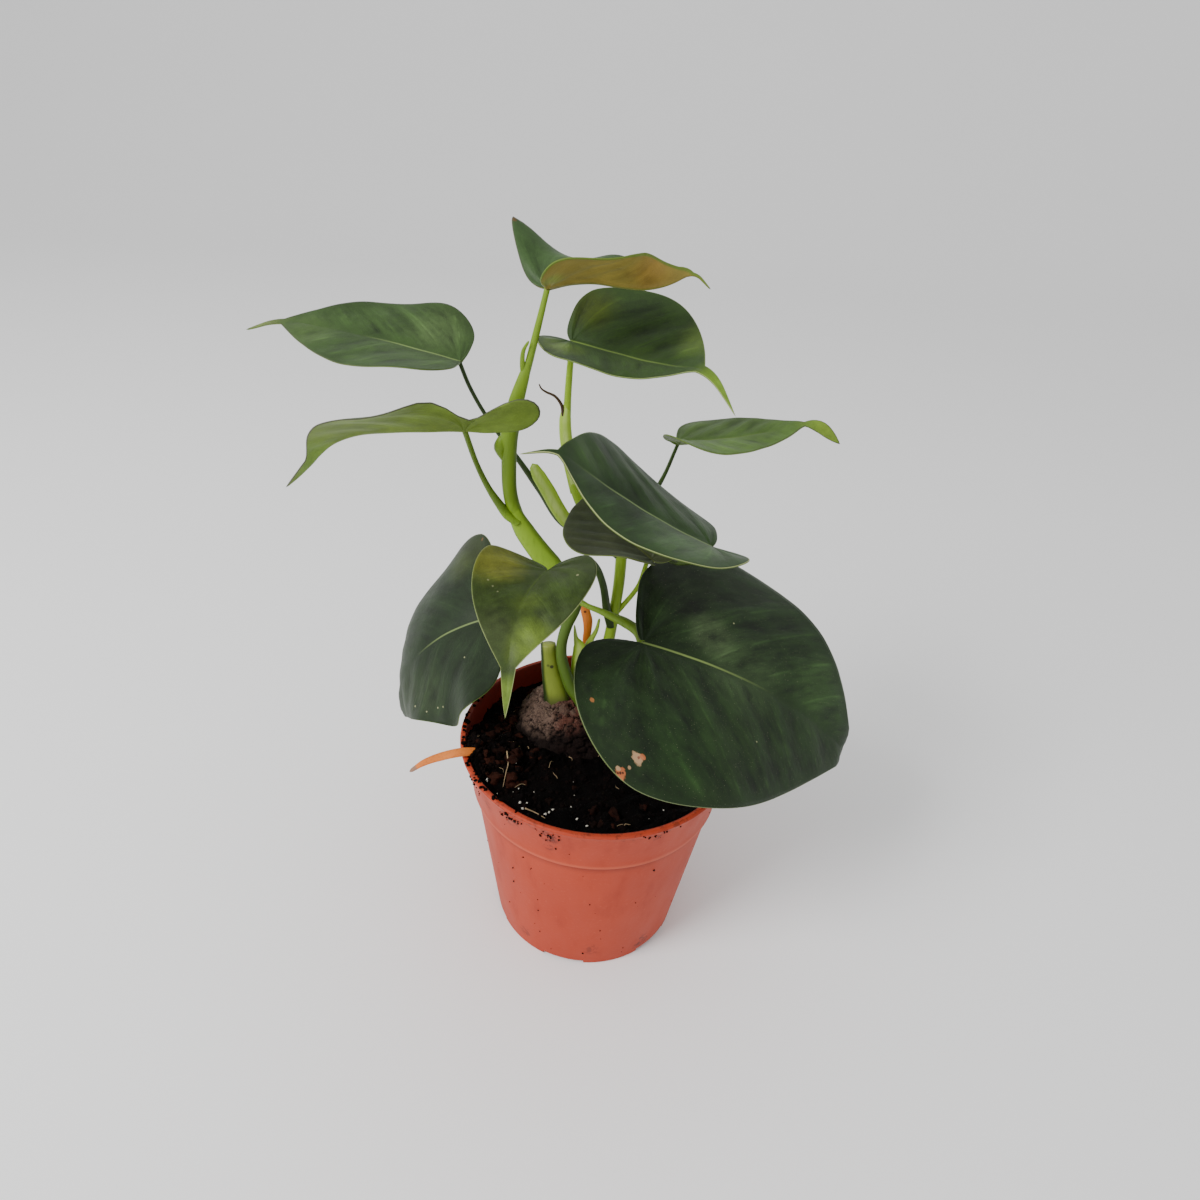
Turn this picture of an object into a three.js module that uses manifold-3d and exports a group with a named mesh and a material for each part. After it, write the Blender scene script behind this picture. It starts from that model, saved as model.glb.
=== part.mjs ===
// Potted philodendron lupinum: a young climbing aroid in a plastic nursery pot.
// Millimetres, +Z up. The origin is the centre of the pot's foot, on the surface it stands on.
// -Y is the front, +X is to the right.

import * as THREE from "three";
import { mergeVertices } from "three/addons/utils/BufferGeometryUtils.js";
import Module from "manifold-3d";

const wasm = await Module();
wasm.setup();

// Driving dimensions
const GAP = 0.3; // clearance between neighbouring pieces
const POT = {
  rimRadius: 60, // a 12 cm nursery pot
  height: 100.7,
  collarHeight: 23.7,
  collarRadius: 55, // at the collar's lower edge
  bodyRadius: 54, // just under the collar
  footRadius: 42.5,
  footWidth: 3.5,
  wall: 1.5,
  rimWidth: 2.6,
  rimRound: 1.2, // radius of the rim's outer edge
  bevel: 0.6, // on the other edges
  draft: 1, // slope of the middle foot's side
  floor: 3.2, // height of the floor's underside
  floorThickness: 2,
  centreFoot: 8,
  notches: 6,
  notchTurn: -10, // degrees, of the front notch from straight ahead
  notchWidth: 19,
  notchHeight: 2.2,
  drainHoles: 6,
  drainRadius: 4,
  drainCircle: 25,
  segments: 48,
};
const SOIL = { level: 93.5, rise: 4.8, heap: 7, heapAt: [-50, -16], heapSpread: 15, rough: 0.7 };
const PLUG = {
  centre: [-11, 16],
  bottom: 62,
  radius: 26,
  wide: 92, // height up to which it keeps its full radius
  shoulder: [17, 106.5], // radius and height where the side turns into the top
  crown: [11, 108.9],
  top: 109.5,
  rough: 1.3,
};
const BLADE = { thickness: 0.8, rings: 4 };
const TUBE_SIDES = 8;

const degrees = THREE.MathUtils.degToRad;
const clamp = THREE.MathUtils.clamp;

// Each leaf: where its stalk meets the blade, where the midrib points, and how the blade bends.
// Lengths in mm, angles in degrees. Left and right are seen from the joint towards the tip.
// width is the widest half width and station its place along the midrib; lobe is how far the
// lobe reaches back; full is how slowly the half narrows towards the tip; fold lifts the half
// at the joint and at the tip; cup bends it further towards the margin; wave is its ripple.
// neck holds half widths of the drip tip: where it starts, and how full it is near and far.
// sway dips the midrib halfway, dripTwist turns the drip tip about its length, and waist
// narrows the left half beside the joint.
const LEAVES = [
  {
    name: "leaf_1",
    joint: [-29.5, 4.5, 284.5],
    heading: 6,
    pitch: 17,
    roll: -11,
    length: 49,
    drip: 7.5,
    neck: [0.8, 0.45, 0.4],
    left: { width: 22, lobe: 6, station: -4.5, full: 0.36, fold: [58, 5], cup: -9, wave: [-8, 0] },
    right: { width: 22.5, lobe: 1, station: 9, full: 0.5, fold: [7, 58], cup: -2, wave: [-3, -90] },
    arch: [-17, 1.3],
    sway: 15,
    dripBend: 75,
    lobeDrop: 10,
    sideways: 0,
    waves: 1.2,
  },
  {
    name: "leaf_2",
    joint: [-22, 28.5, 261.5],
    heading: -21,
    pitch: -4,
    roll: 18,
    length: 58.5,
    drip: 22,
    neck: [2.2, 1.5, 0.7],
    left: { width: 28, lobe: 5, station: 18.5, full: 0.42, fold: [26, 10], cup: 10, wave: [-1, 30] },
    right: { width: 25, lobe: 8.5, station: 9.5, full: 0.4, fold: [26, -1], cup: -1, wave: [2, -70] },
    arch: [-30, 1.4],
    dripBend: 56,
    dripTwist: 15,
    lobeDrop: -17,
    sideways: 29,
    waves: 1.1,
  },
  {
    name: "leaf_3",
    joint: [-63.5, 27.5, 251],
    heading: 179,
    pitch: 11,
    roll: -13,
    length: 69,
    drip: 18,
    neck: [1.7, 1.5, 1.5],
    left: { width: 28.5, lobe: 1, station: 11, full: 0.54, fold: [24, -8], cup: -6, wave: [1, -30] },
    right: { width: 26.5, lobe: 2, station: 16, full: 0.46, fold: [11, 9], cup: 3, wave: [2, 10] },
    arch: [12, 1.4],
    dripBend: 22,
    lobeDrop: -4,
    sideways: 6,
    waves: 1.5,
  },
  {
    name: "leaf_4",
    joint: [-55, -8.5, 238.5],
    heading: 188,
    pitch: 1,
    roll: -9,
    length: 62,
    drip: 20.5,
    neck: [3.2, 3, 1.2],
    left: { width: 28.5, lobe: 19, station: 18.5, full: 0.1, fold: [62, 30], cup: -2, wave: [-7, 0] },
    right: { width: 26.5, lobe: 5.5, station: 9.5, full: 0.24, fold: [-24, -7], cup: -5, wave: [0, 0] },
    waist: { depth: 0.8, at: -1.5, spread: 9 },
    arch: [55, 0.9],
    sway: -8,
    dripBend: -8,
    lobeDrop: 29,
    sideways: 19,
    waves: 0.7,
  },
  {
    name: "leaf_5",
    joint: [-23.5, -19, 191],
    heading: 251,
    pitch: 6,
    roll: 11,
    length: 49,
    drip: 16.5,
    neck: [1.6, 0.6, 0.4],
    left: { width: 22.5, lobe: 7.5, station: 12, full: 0.38, fold: [20, -6], cup: -18, wave: [-0.5, 60] },
    right: { width: 23, lobe: 4, station: 4, full: 0.34, fold: [13, 15], cup: 21, wave: [1, 20] },
    arch: [58, 1.6],
    dripBend: -9,
    lobeDrop: -11,
    sideways: -12,
    waves: 1.3,
  },
  {
    name: "leaf_6",
    joint: [34, -16.5, 205.5],
    heading: 183,
    pitch: 20,
    roll: -10,
    length: 68.5,
    drip: 12.5,
    neck: [1.1, 0.45, 0.35],
    left: { width: 28.5, lobe: 12, station: 18.5, full: 0.52, fold: [28, -18], cup: -9, wave: [2.5, -30] },
    right: { width: 32, lobe: 3.5, station: 23, full: 0.64, fold: [0, 25], cup: -27, wave: [-1, 70] },
    arch: [-27, 0.7],
    dripBend: 48,
    lobeDrop: -24,
    sideways: -19,
    waves: 0.8,
  },
  {
    name: "leaf_7",
    joint: [14.5, 2, 188],
    heading: 149,
    pitch: 23,
    roll: -23,
    length: 40.5,
    drip: 1,
    neck: [1.6, 0.6, 0.4],
    left: { width: 25.5, lobe: 4.5, station: 14, full: 0.58, fold: [45, -11], cup: 8, wave: [2.5, 80] },
    right: { width: 23.5, lobe: 7, station: 5.5, full: 0.42, fold: [12, 8], cup: 6, wave: [0, 0] },
    arch: [14, 1.4],
    dripBend: 72,
    lobeDrop: -13,
    sideways: 8,
    waves: 1.3,
  },
  {
    name: "leaf_8",
    joint: [20.5, 18, 230.5],
    heading: -9,
    pitch: 9,
    roll: 3,
    length: 46.5,
    drip: 16.5,
    neck: [1.2, 3, 2.2],
    left: { width: 19.5, lobe: 1.5, station: 7.5, full: 0.34, fold: [7, 10], cup: -10, wave: [-0.5, 20] },
    right: { width: 20, lobe: 4.5, station: 7.5, full: 0.38, fold: [26, -20], cup: 1, wave: [-1.5, -40] },
    arch: [-15, 1.3],
    dripBend: 61,
    dripTwist: 70,
    lobeDrop: -6,
    sideways: -9,
    waves: 1.1,
  },
  {
    name: "leaf_9",
    joint: [14, -17, 162],
    heading: 0,
    pitch: -13,
    roll: 27,
    length: 106.5,
    drip: 3,
    neck: [1.8, 0.7, 0.5],
    left: { width: 56, lobe: 5.5, station: 34.5, full: 0.48, fold: [3, 10], cup: -24, wave: [2.5, 0] },
    right: { width: 62, lobe: 26.5, station: 8, full: 0.5, fold: [17, -3], cup: -12, wave: [-2, 30] },
    arch: [38, 1.5],
    dripBend: 75,
    lobeDrop: -13,
    sideways: 12,
    waves: 1.6,
  },
  {
    name: "leaf_10",
    joint: [-55.5, 35.5, 132],
    heading: 174,
    pitch: -25,
    roll: -24,
    length: 86,
    drip: 1.5,
    neck: [1.8, 0.7, 0.5],
    left: { width: 46.5, lobe: 9, station: 10, full: 0.44, fold: [-6, -5], cup: -1, wave: [7, 65] },
    right: { width: 50, lobe: 10, station: 16.5, full: 0.38, fold: [28, -16], cup: -37, wave: [-3, -80] },
    arch: [69, 1.4],
    dripBend: 19,
    lobeDrop: -15,
    sideways: -29,
    waves: 1.5,
  },
];
const leafNamed = (name) => LEAVES.find((leaf) => leaf.name === name);

// Solids and geometry

// A closed geometry as a solid that can be joined and cut.
function solidOf(geometry) {
  const bare = geometry.clone();
  bare.deleteAttribute("normal");
  bare.deleteAttribute("uv");
  const merged = mergeVertices(bare, 1e-4);
  const triVerts = new Uint32Array(merged.index.array);
  return new wasm.Manifold(
    new wasm.Mesh({ numProp: 3, vertProperties: merged.attributes.position.array, triVerts }),
  );
}

// The geometry of a joined or cut solid.
function geometryOf(solid) {
  const mesh = solid.getMesh();
  const geometry = new THREE.BufferGeometry();
  geometry.setAttribute("position", new THREE.BufferAttribute(mesh.vertProperties, 3));
  geometry.setIndex(new THREE.BufferAttribute(mesh.triVerts, 1));
  geometry.computeVertexNormals();
  return geometry;
}

function geometryFrom(points, faces) {
  const geometry = new THREE.BufferGeometry().setFromPoints(points);
  geometry.setIndex(faces.flat());
  return geometry;
}

// A repeatable roughness between -1 and 1 that varies with a place and its scale in mm.
function rough(x, y, z, scale) {
  const a = Math.sin((x * 1.7 + y * 0.6 + z * 0.9) / scale);
  const b = Math.sin((y * 1.9 - x * 0.8 + z * 1.3) / scale + 1.3);
  const c = Math.sin((z * 1.5 + x * 1.1 - y * 1.2) / scale + 4.1);
  return (a + b + c) / 3;
}

// A lathe round the upright Z axis; its profile runs from the axis back to the axis.
function turned(profile, segments) {
  const points = profile.map(([radius, z]) => new THREE.Vector2(radius, z));
  return new THREE.LatheGeometry(points, segments).rotateX(Math.PI / 2);
}

// A closed tube along a smooth path. radii holds one radius for each point of the path, and flat
// thins the section along its second axis, which lies square to the path and to `across`.
// `grow` makes the tube larger all round, for the plain hole that it stands in.
function tube({ path, radii, steps, flat = 1, across = [1, 0, 0] }, grow = 0) {
  const points = path.map((point) => new THREE.Vector3(...point));
  const curve = new THREE.CatmullRomCurve3(points, false, "centripetal");
  const wide = new THREE.Vector3(...across);
  const vertices = [];
  const faces = [];
  for (let step = 0; step <= steps; step++) {
    const t = step / steps;
    const tangent = curve.getTangent(t);
    wide.addScaledVector(tangent, -wide.dot(tangent)).normalize();
    const thin = new THREE.Vector3().crossVectors(tangent, wide);
    const place = t * (radii.length - 1);
    const before = Math.min(Math.floor(place), radii.length - 2);
    const radius = THREE.MathUtils.lerp(radii[before], radii[before + 1], place - before) + grow;
    const centre = curve.getPoint(t);
    if (step === 0) centre.addScaledVector(tangent, -grow);
    if (step === steps) centre.addScaledVector(tangent, grow);
    for (let side = 0; side < TUBE_SIDES; side++) {
      const turn = (side / TUBE_SIDES) * 2 * Math.PI;
      const vertex = centre.clone();
      vertex.addScaledVector(wide, radius * Math.cos(turn));
      vertex.addScaledVector(thin, radius * flat * Math.sin(turn));
      vertices.push(vertex);
    }
  }
  for (let step = 0; step < steps; step++) {
    for (let side = 0; side < TUBE_SIDES; side++) {
      const next = (side + 1) % TUBE_SIDES;
      const a = step * TUBE_SIDES + side;
      const b = step * TUBE_SIDES + next;
      faces.push([a, b, b + TUBE_SIDES], [a, b + TUBE_SIDES, a + TUBE_SIDES]);
    }
  }
  const last = steps * TUBE_SIDES;
  for (let side = 1; side < TUBE_SIDES - 1; side++) {
    faces.push([0, side + 1, side], [last, last + side, last + side + 1]);
  }
  return solidOf(geometryFrom(vertices, faces));
}

const joined = (solids) => solids.reduce((whole, piece) => whole.add(piece));

// Leaf blades

// The directions of a leaf at its joint: along the midrib, towards its left half, out of its face.
function leafAxes(leaf) {
  const heading = degrees(leaf.heading);
  const pitch = degrees(leaf.pitch);
  const roll = degrees(leaf.roll);
  const forward = new THREE.Vector3(
    Math.cos(pitch) * Math.cos(heading),
    Math.cos(pitch) * Math.sin(heading),
    Math.sin(pitch),
  );
  const level = new THREE.Vector3(-Math.sin(heading), Math.cos(heading), 0);
  const upright = new THREE.Vector3().crossVectors(forward, level);
  const left = level.clone().multiplyScalar(Math.cos(roll)).addScaledVector(upright, Math.sin(roll));
  const out = new THREE.Vector3().crossVectors(forward, left);
  return { forward, left, out };
}

// The midrib's angles at a distance from the joint: its fall and its sideways turn.
function midribAngles(leaf, distance) {
  const share = distance / leaf.length;
  const [arch, power] = leaf.arch;
  const dripStart = 0.93 * leaf.length;
  const bendLength = 0.6 * (leaf.drip + leaf.length - dripStart);
  const dripShare = clamp((distance - dripStart) / bendLength, 0, 1);
  const dip = (leaf.sway ?? 0) * (1 - Math.cos(2 * Math.PI * clamp(share, 0, 1)));
  const fall =
    arch * clamp(share, 0, 1) ** power +
    dip +
    leaf.dripBend * dripShare -
    leaf.lobeDrop * clamp(-share / 0.3, 0, 1.3);
  return { rise: -degrees(fall), turn: -degrees(leaf.sideways * clamp(share, 0, 1.3)) };
}

// The midrib's course in the leaf's own directions, by adding up short steps from the joint.
function midribPlace(leaf, distance) {
  const place = new THREE.Vector3();
  const count = Math.max(1, Math.ceil(Math.abs(distance) * 2));
  const step = distance / count;
  for (let i = 0; i < count; i++) {
    const { rise, turn } = midribAngles(leaf, (i + 0.5) * step);
    place.x += Math.cos(rise) * Math.cos(turn) * step;
    place.y += Math.cos(rise) * Math.sin(turn) * step;
    place.z += Math.sin(rise) * step;
  }
  return place;
}

// The point of the bent blade at `along` on the flat midrib and `across` to one side of it.
function bladePoint(leaf, side, along, across) {
  const half = side > 0 ? leaf.left : leaf.right;
  const share = clamp(along / leaf.length, -0.4, 1);
  const fold = degrees(THREE.MathUtils.lerp(half.fold[0], half.fold[1], share));
  const bend = degrees(half.cup) / half.width;
  const [height, phase] = half.wave;
  const ripple = height * Math.sin(2 * Math.PI * ((leaf.waves * along) / leaf.length + phase / 360));
  const outward = (Math.sin(fold + bend * across) - Math.sin(fold)) / bend;
  const curl = (Math.cos(fold) - Math.cos(fold + bend * across)) / bend;
  const raised = curl + ripple * (across / half.width) ** 2;
  const dripShare = clamp((along - leaf.length) / (0.5 * leaf.drip), 0, 1);
  const twist = degrees(leaf.dripTwist ?? 0) * dripShare;
  const aside = side * outward * Math.cos(twist) - raised * Math.sin(twist);
  const lift = raised * Math.cos(twist) + side * outward * Math.sin(twist);
  const { rise, turn } = midribAngles(leaf, along);
  const rib = midribPlace(leaf, along);
  const u = rib.x - lift * Math.sin(rise) * Math.cos(turn) - aside * Math.sin(turn);
  const v = rib.y - lift * Math.sin(rise) * Math.sin(turn) + aside * Math.cos(turn);
  const n = rib.z + lift * Math.cos(rise);
  const { forward, left, out } = leafAxes(leaf);
  return new THREE.Vector3(...leaf.joint)
    .addScaledVector(forward, u)
    .addScaledVector(left, v)
    .addScaledVector(out, n);
}

// The flat outline of one half, from the joint round the lobe to the drip tip, as four curves:
// sinus, back of the lobe, side down to the neck, drip tip. x runs along the midrib, y across.
function halfOutline(leaf, half) {
  const { width, lobe, station, full } = half;
  const { length, drip } = leaf;
  const [neck, near, far] = leaf.neck;
  const back = 0.45 * width;
  const shoulder = station - 0.5 * (station + lobe);
  const corner = (x, y) => new THREE.Vector2(x, y);
  const pieces = [
    [4, corner(0, 0), corner(-0.55 * lobe, 0.03 * width), corner(-lobe, 0.12 * width), corner(-lobe, back)],
    [5, corner(-lobe, back), corner(-lobe, 0.8 * width), corner(shoulder, width), corner(station, width)],
    [
      8,
      corner(station, width),
      corner(station + 0.45 * (length - station), width),
      corner(length - 0.3 * (length - station), neck + full * width),
      corner(length, neck),
    ],
    [
      3,
      corner(length, neck),
      corner(length + 0.3 * drip, near),
      corner(length + 0.7 * drip, far),
      corner(length + drip, 0),
    ],
  ];
  const outline = [corner(0, 0)];
  for (const [count, ...corners] of pieces) {
    const curve = new THREE.CubicBezierCurve(...corners);
    outline.push(...curve.getPoints(count).slice(1));
  }
  if (leaf.waist && half === leaf.left) {
    const { depth, at, spread } = leaf.waist;
    for (const point of outline) point.y *= 1 - depth * Math.exp(-(((point.x - at) / spread) ** 2));
  }
  return outline;
}

// The blade's middle surface. Lines run from the midrib out to the margin and forward, as the
// side veins do, and fan out from the joint over the lobes.
function bladeSurface(leaf) {
  const points = [];
  const faces = [];
  const across = BLADE.rings + 1;
  const outlines = [leaf.left, leaf.right].map((half) => halfOutline(leaf, half));
  const roots = [];
  for (const [row, margin] of outlines[0].entries()) {
    const opposite = outlines[1][row];
    const root = (margin.x + opposite.x) / 2 - 0.4 * (margin.y + opposite.y);
    roots.push(Math.max(root, roots.at(-1) ?? 0));
  }
  for (const [half, outline] of outlines.entries()) {
    const side = half === 0 ? 1 : -1;
    const start = points.length;
    for (const [row, margin] of outline.entries()) {
      for (let ring = 0; ring < across; ring++) {
        const share = ring / BLADE.rings;
        const along = THREE.MathUtils.lerp(roots[row], margin.x, share);
        points.push(bladePoint(leaf, side, along, margin.y * share));
      }
    }
    for (let row = 0; row < outline.length - 1; row++) {
      for (let ring = 0; ring < BLADE.rings; ring++) {
        const a = start + row * across + ring;
        const quad = [a, a + 1, a + across + 1, a + across];
        const [p, q, r, s] = side > 0 ? quad.toReversed() : quad;
        faces.push([p, q, r], [p, r, s]);
      }
    }
  }
  const merged = mergeVertices(geometryFrom(points, faces), 1e-3);
  const index = [];
  for (let i = 0; i < merged.index.count; i += 3) {
    const [p, q, r] = [0, 1, 2].map((corner) => merged.index.getX(i + corner));
    if (p !== q && q !== r && r !== p) index.push(p, q, r);
  }
  merged.setIndex(index);
  return merged;
}

// A sheet of even thickness on both sides of a surface, closed round its margin.
function thickened(surface, thickness) {
  surface.computeVertexNormals();
  const { position, normal } = surface.attributes;
  const index = Array.from(surface.index.array);
  const upper = [];
  const lower = [];
  for (let i = 0; i < position.count; i++) {
    const point = new THREE.Vector3().fromBufferAttribute(position, i);
    const out = new THREE.Vector3().fromBufferAttribute(normal, i);
    upper.push(point.clone().addScaledVector(out, thickness / 2));
    lower.push(point.clone().addScaledVector(out, -thickness / 2));
  }
  const below = position.count;
  const faces = [];
  const edges = new Map();
  for (let i = 0; i < index.length; i += 3) {
    const [p, q, r] = index.slice(i, i + 3);
    faces.push([p, q, r], [below + p, below + r, below + q]);
    for (const [from, to] of [[p, q], [q, r], [r, p]]) {
      if (!edges.delete(`${to} ${from}`)) edges.set(`${from} ${to}`, [from, to]);
    }
  }
  for (const [from, to] of edges.values()) {
    faces.push([from, below + from, below + to], [from, below + to, to]);
  }
  return geometryFrom([...upper, ...lower], faces);
}

// Where a leaf's stalk ends: just under the blade at its joint, as deep as a stalk of that
// radius needs when it comes from the point `from`.
function stalkEnd(leafName, from, radius) {
  const leaf = leafNamed(leafName);
  const joint = new THREE.Vector3(...leaf.joint);
  const { out } = leafAxes(leaf);
  const approach = joint.clone().sub(new THREE.Vector3(...from)).normalize();
  const slant = Math.sqrt(Math.max(0, 1 - approach.dot(out) ** 2));
  const droop = degrees(Math.max(0, -leaf.left.fold[0], -leaf.right.fold[0]));
  const depth = BLADE.thickness / 2 + GAP + radius * (slant + Math.tan(droop));
  return joint.addScaledVector(out, -depth).toArray();
}

// A leaf stalk along its path, ended under its leaf.
function stalk(leafName, path, radii, steps, more = {}) {
  const end = stalkEnd(leafName, path.at(-1), radii.at(-1));
  return { path: [...path, end], radii, steps, ...more };
}

// Stems and stalks: centre lines in mm, from the base up

// The thick stem at the left: it rises in a double bend and carries leaves 1, 4, 9 and 10.
const stemLeft = {
  trunk: {
    path: [
      [-4.5, 6.5, 96],
      [-6.1, 7, 103.9],
      [-8.6, 7.5, 111.2],
      [-13.4, 9, 117.2],
      [-16.5, 10.5, 124],
      [-18.7, 12, 131.2],
      [-18.9, 13, 138.4],
      [-17.2, 14, 146.7],
      [-14.6, 14.5, 154.5],
      [-14, 14.5, 160.5],
      [-16.5, 13.5, 166],
      [-24.1, 11.5, 175.7],
      [-29.6, 10, 183.3],
      [-34.8, 8.5, 191.6],
      [-38.7, 6.5, 200.4],
      [-40.8, 4.5, 210],
      [-41.3, 4, 224],
      [-41.1, 4, 234.7],
      [-38.8, 4, 246],
    ],
    radii: [3, 3, 3, 2.8, 2.6, 2.4, 2.3, 2.4, 2.6, 2.7, 2.7, 3, 3.1, 3.1, 2.8, 2.7, 2.8, 3.4, 2.1],
    steps: 32,
  },
  sheathLow: {
    path: [
      [-6.5, 9, 102],
      [-9.7, 11, 113.9],
      [-12, 13.5, 120.6],
      [-11.7, 15.5, 127.9],
      [-11.4, 16.5, 134.2],
      [-13.2, 17, 138.4],
      [-14.2, 17, 145],
    ],
    radii: [2.6, 2.4, 2.2, 2.8, 2.9, 1, 0.3],
    steps: 12,
    flat: 0.45,
  },
  node: {
    path: [[-43, 4, 223.5], [-44.2, 3.5, 228.2], [-43.2, 4, 232.5]],
    radii: [1.3, 2.7, 1.5],
    steps: 4,
  },
  stalk1: stalk(
    "leaf_1",
    [[-40.5, 4, 238], [-38.5, 4, 246], [-35.5, 4.5, 256.5], [-32.3, 4.8, 270.5], [-30.2, 4.7, 280]],
    [2.4, 1.9, 1.4, 1.2, 1, 1],
    10,
  ),
  sheath1: {
    path: [[-40.8, 3.2, 237], [-38.7, 3, 246], [-36.2, 3.5, 255], [-34.6, 4, 261]],
    radii: [2.8, 2.7, 1.9, 0.8],
    steps: 6,
    flat: 0.6,
  },
  sheathTip: {
    path: [[-36.2, 3.8, 253], [-36.9, 3.2, 259], [-36.6, 3, 263.5], [-34.8, 2.6, 267]],
    radii: [1, 0.9, 0.7, 0.4],
    steps: 6,
    flat: 0.6,
  },
  sheath4: {
    path: [
      [-21, 10.5, 172.8],
      [-25.6, 9.5, 178.5],
      [-30.8, 8, 186],
      [-35.5, 6.5, 193.8],
      [-38.5, 5, 200.7],
      [-40.2, 4.5, 205.8],
    ],
    radii: [4, 4.9, 4.5, 4.1, 3, 1.6],
    steps: 8,
    flat: 0.6,
  },
  stalk4: stalk(
    "leaf_4",
    [[-37.3, 5, 197.8], [-41.4, 4, 200.9], [-44.9, 3, 206], [-48.3, 2, 211.9], [-52, -1, 222]],
    [2, 2, 1.6, 1.2, 1, 1],
    10,
  ),
  stalk9: stalk(
    "leaf_9",
    [
      [-13.7, 14, 159.5],
      [-8.8, 10.5, 159.2],
      [-3.6, 7, 159.5],
      [1.9, 3, 159.7],
      [7.2, -2, 160.6],
      [11.7, -7.5, 160.9],
    ],
    [1.5, 1.1, 1.3, 1.7, 2.1, 2.1, 1.6],
    12,
  ),
  stalk10: stalk(
    "leaf_10",
    [
      [-16, 14, 163],
      [-21, 19, 164.5],
      [-28, 26, 160.5],
      [-37, 32, 149.5],
      [-45, 35, 138],
      [-51, 35.5, 131.5],
    ],
    [1.9, 1.9, 1.9, 1.8, 1.7, 1.6, 1.6],
    12,
  ),
};

// The stump of an old stalk, cut off square, that stands in the plug beside the left stem.
const cutStump = {
  path: [
    [-18.2, 10.5, 97],
    [-19.2, 11, 105],
    [-20.9, 12.5, 112.6],
    [-23.1, 14.5, 120.8],
    [-24.4, 15.5, 128.9],
    [-25.1, 16, 134.8],
  ],
  radii: [4.8, 5, 4.8, 3.8, 3.3, 3.1],
  steps: 10,
  flat: 0.75,
};

// The stem behind the large right leaf: it carries leaves 2, 3, 5, 6, 7 and 8.
const stemRight = {
  trunk: {
    path: [
      [-2, 22, 92],
      [-1, 22, 112],
      [0.2, 22, 130],
      [1.2, 22.5, 137],
      [2.3, 23.4, 149],
      [3.2, 25, 163],
      [3.2, 27, 178],
    ],
    radii: [2.9, 2.8, 2.6, 2.5, 2.3, 2.4, 2.4],
    steps: 12,
  },
  stalk2: stalk(
    "leaf_2",
    [
      [3, 27, 176],
      [-5, 31, 183.5],
      [-14, 33, 192],
      [-19.5, 34, 204.5],
      [-22.6, 33, 222],
      [-22.8, 31, 238.5],
      [-22.3, 29, 254],
    ],
    [2.4, 2.2, 2.1, 2, 2, 1.4, 1.2, 1.2],
    14,
  ),
  sheath2: {
    path: [
      [-18.5, 33.5, 199],
      [-20.8, 32.5, 212],
      [-22.9, 31.5, 224],
      [-23.4, 31, 231.3],
      [-22.9, 30.5, 239],
    ],
    radii: [1.6, 2.6, 2.5, 2.3, 0.8],
    steps: 8,
    flat: 0.6,
  },
  stalk3: stalk(
    "leaf_3",
    [
      [2.8, 27, 175],
      [-7, 32, 180],
      [-22.5, 35, 184.5],
      [-33, 37, 197.5],
      [-42.5, 37, 210.5],
      [-54.5, 34, 228],
      [-60.5, 30, 241],
    ],
    [2.3, 2.1, 1.9, 1.5, 1.1, 0.8, 0.8, 0.8],
    14,
  ),
  sheath3: {
    path: [
      [-14, 33, 180],
      [-21.3, 33.5, 186.4],
      [-25.3, 33.5, 192],
      [-29.3, 34, 198.7],
      [-33.4, 35, 204.6],
      [-36, 35.5, 209],
    ],
    radii: [2.2, 3, 3.1, 3.1, 2.9, 1.8],
    steps: 8,
    flat: 0.45,
  },
  stalk5: stalk(
    "leaf_5",
    [
      [1.5, 22.5, 143],
      [-0.8, 21, 151],
      [-2, 19, 158.6],
      [-3.4, 17.5, 165.8],
      [-6.3, 15.5, 174.3],
      [-10.1, 11, 180.5],
      [-17, -5, 186.5],
    ],
    [2.2, 1.9, 1.7, 1.6, 1.5, 1.5, 1.4, 1.3],
    12,
  ),
  stalk8: stalk(
    "leaf_8",
    [[3.2, 27, 175], [8, 31, 186], [13.5, 31, 201], [17.5, 26.5, 214], [19.6, 20.5, 225]],
    [2.1, 1.6, 1.1, 0.8, 0.7, 0.7],
    9,
  ),
  stalk7: stalk(
    "leaf_7",
    [[2.2, 23.4, 148], [6, 24, 153], [11.5, 24, 163], [13.5, 24, 172], [14.3, 20, 179.5], [14.5, 10, 184]],
    [1.5, 1.1, 1, 1, 1, 1, 1],
    10,
  ),
  stalk6: stalk(
    "leaf_6",
    [[13.8, 22.8, 175.5], [18.5, 16, 182], [25, 5, 186], [31, -5, 193], [32.5, -12, 199.5]],
    [0.9, 1, 1, 1, 1, 1],
    9,
  ),
};

// Dead and young pieces that stand in the plug, and the dry strip that lies over the rim.
const dryCataphyll = {
  path: [
    [-8, 25, 99],
    [-8.4, 25.5, 123.8],
    [-9, 25.5, 132],
    [-8.7, 25.5, 137.4],
    [-9, 25.5, 142.6],
    [-10.2, 25.3, 147.3],
    [-11.2, 25, 152],
  ],
  radii: [1.6, 1.6, 1.6, 1.8, 2.2, 2.1, 1.4],
  steps: 12,
  flat: 0.55,
};
const greenShoot = {
  path: [
    [-7.2, 20.5, 98],
    [-7.6, 20.5, 118],
    [-8, 20.5, 127.4],
    [-7.7, 20.5, 132.9],
    [-6.4, 20.5, 136.7],
    [-4.7, 20.5, 141.1],
    [-3.8, 20.5, 147],
  ],
  radii: [1.3, 1.4, 1.5, 1.6, 1.2, 0.9, 0.5],
  steps: 12,
};
const dryStrip = {
  path: [
    [-45, -17, 98.5],
    [-50.5, -20, 101.8],
    [-56.5, -22.5, 103],
    [-64.5, -24, 101],
    [-71, -26, 98.8],
    [-76.5, -28, 95.2],
  ],
  radii: [1.8, 1.9, 2, 1.9, 1.5, 0.8],
  steps: 10,
  flat: 0.45,
  across: [0, 1, 0.2],
};

// Pot, soil and plug

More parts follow.
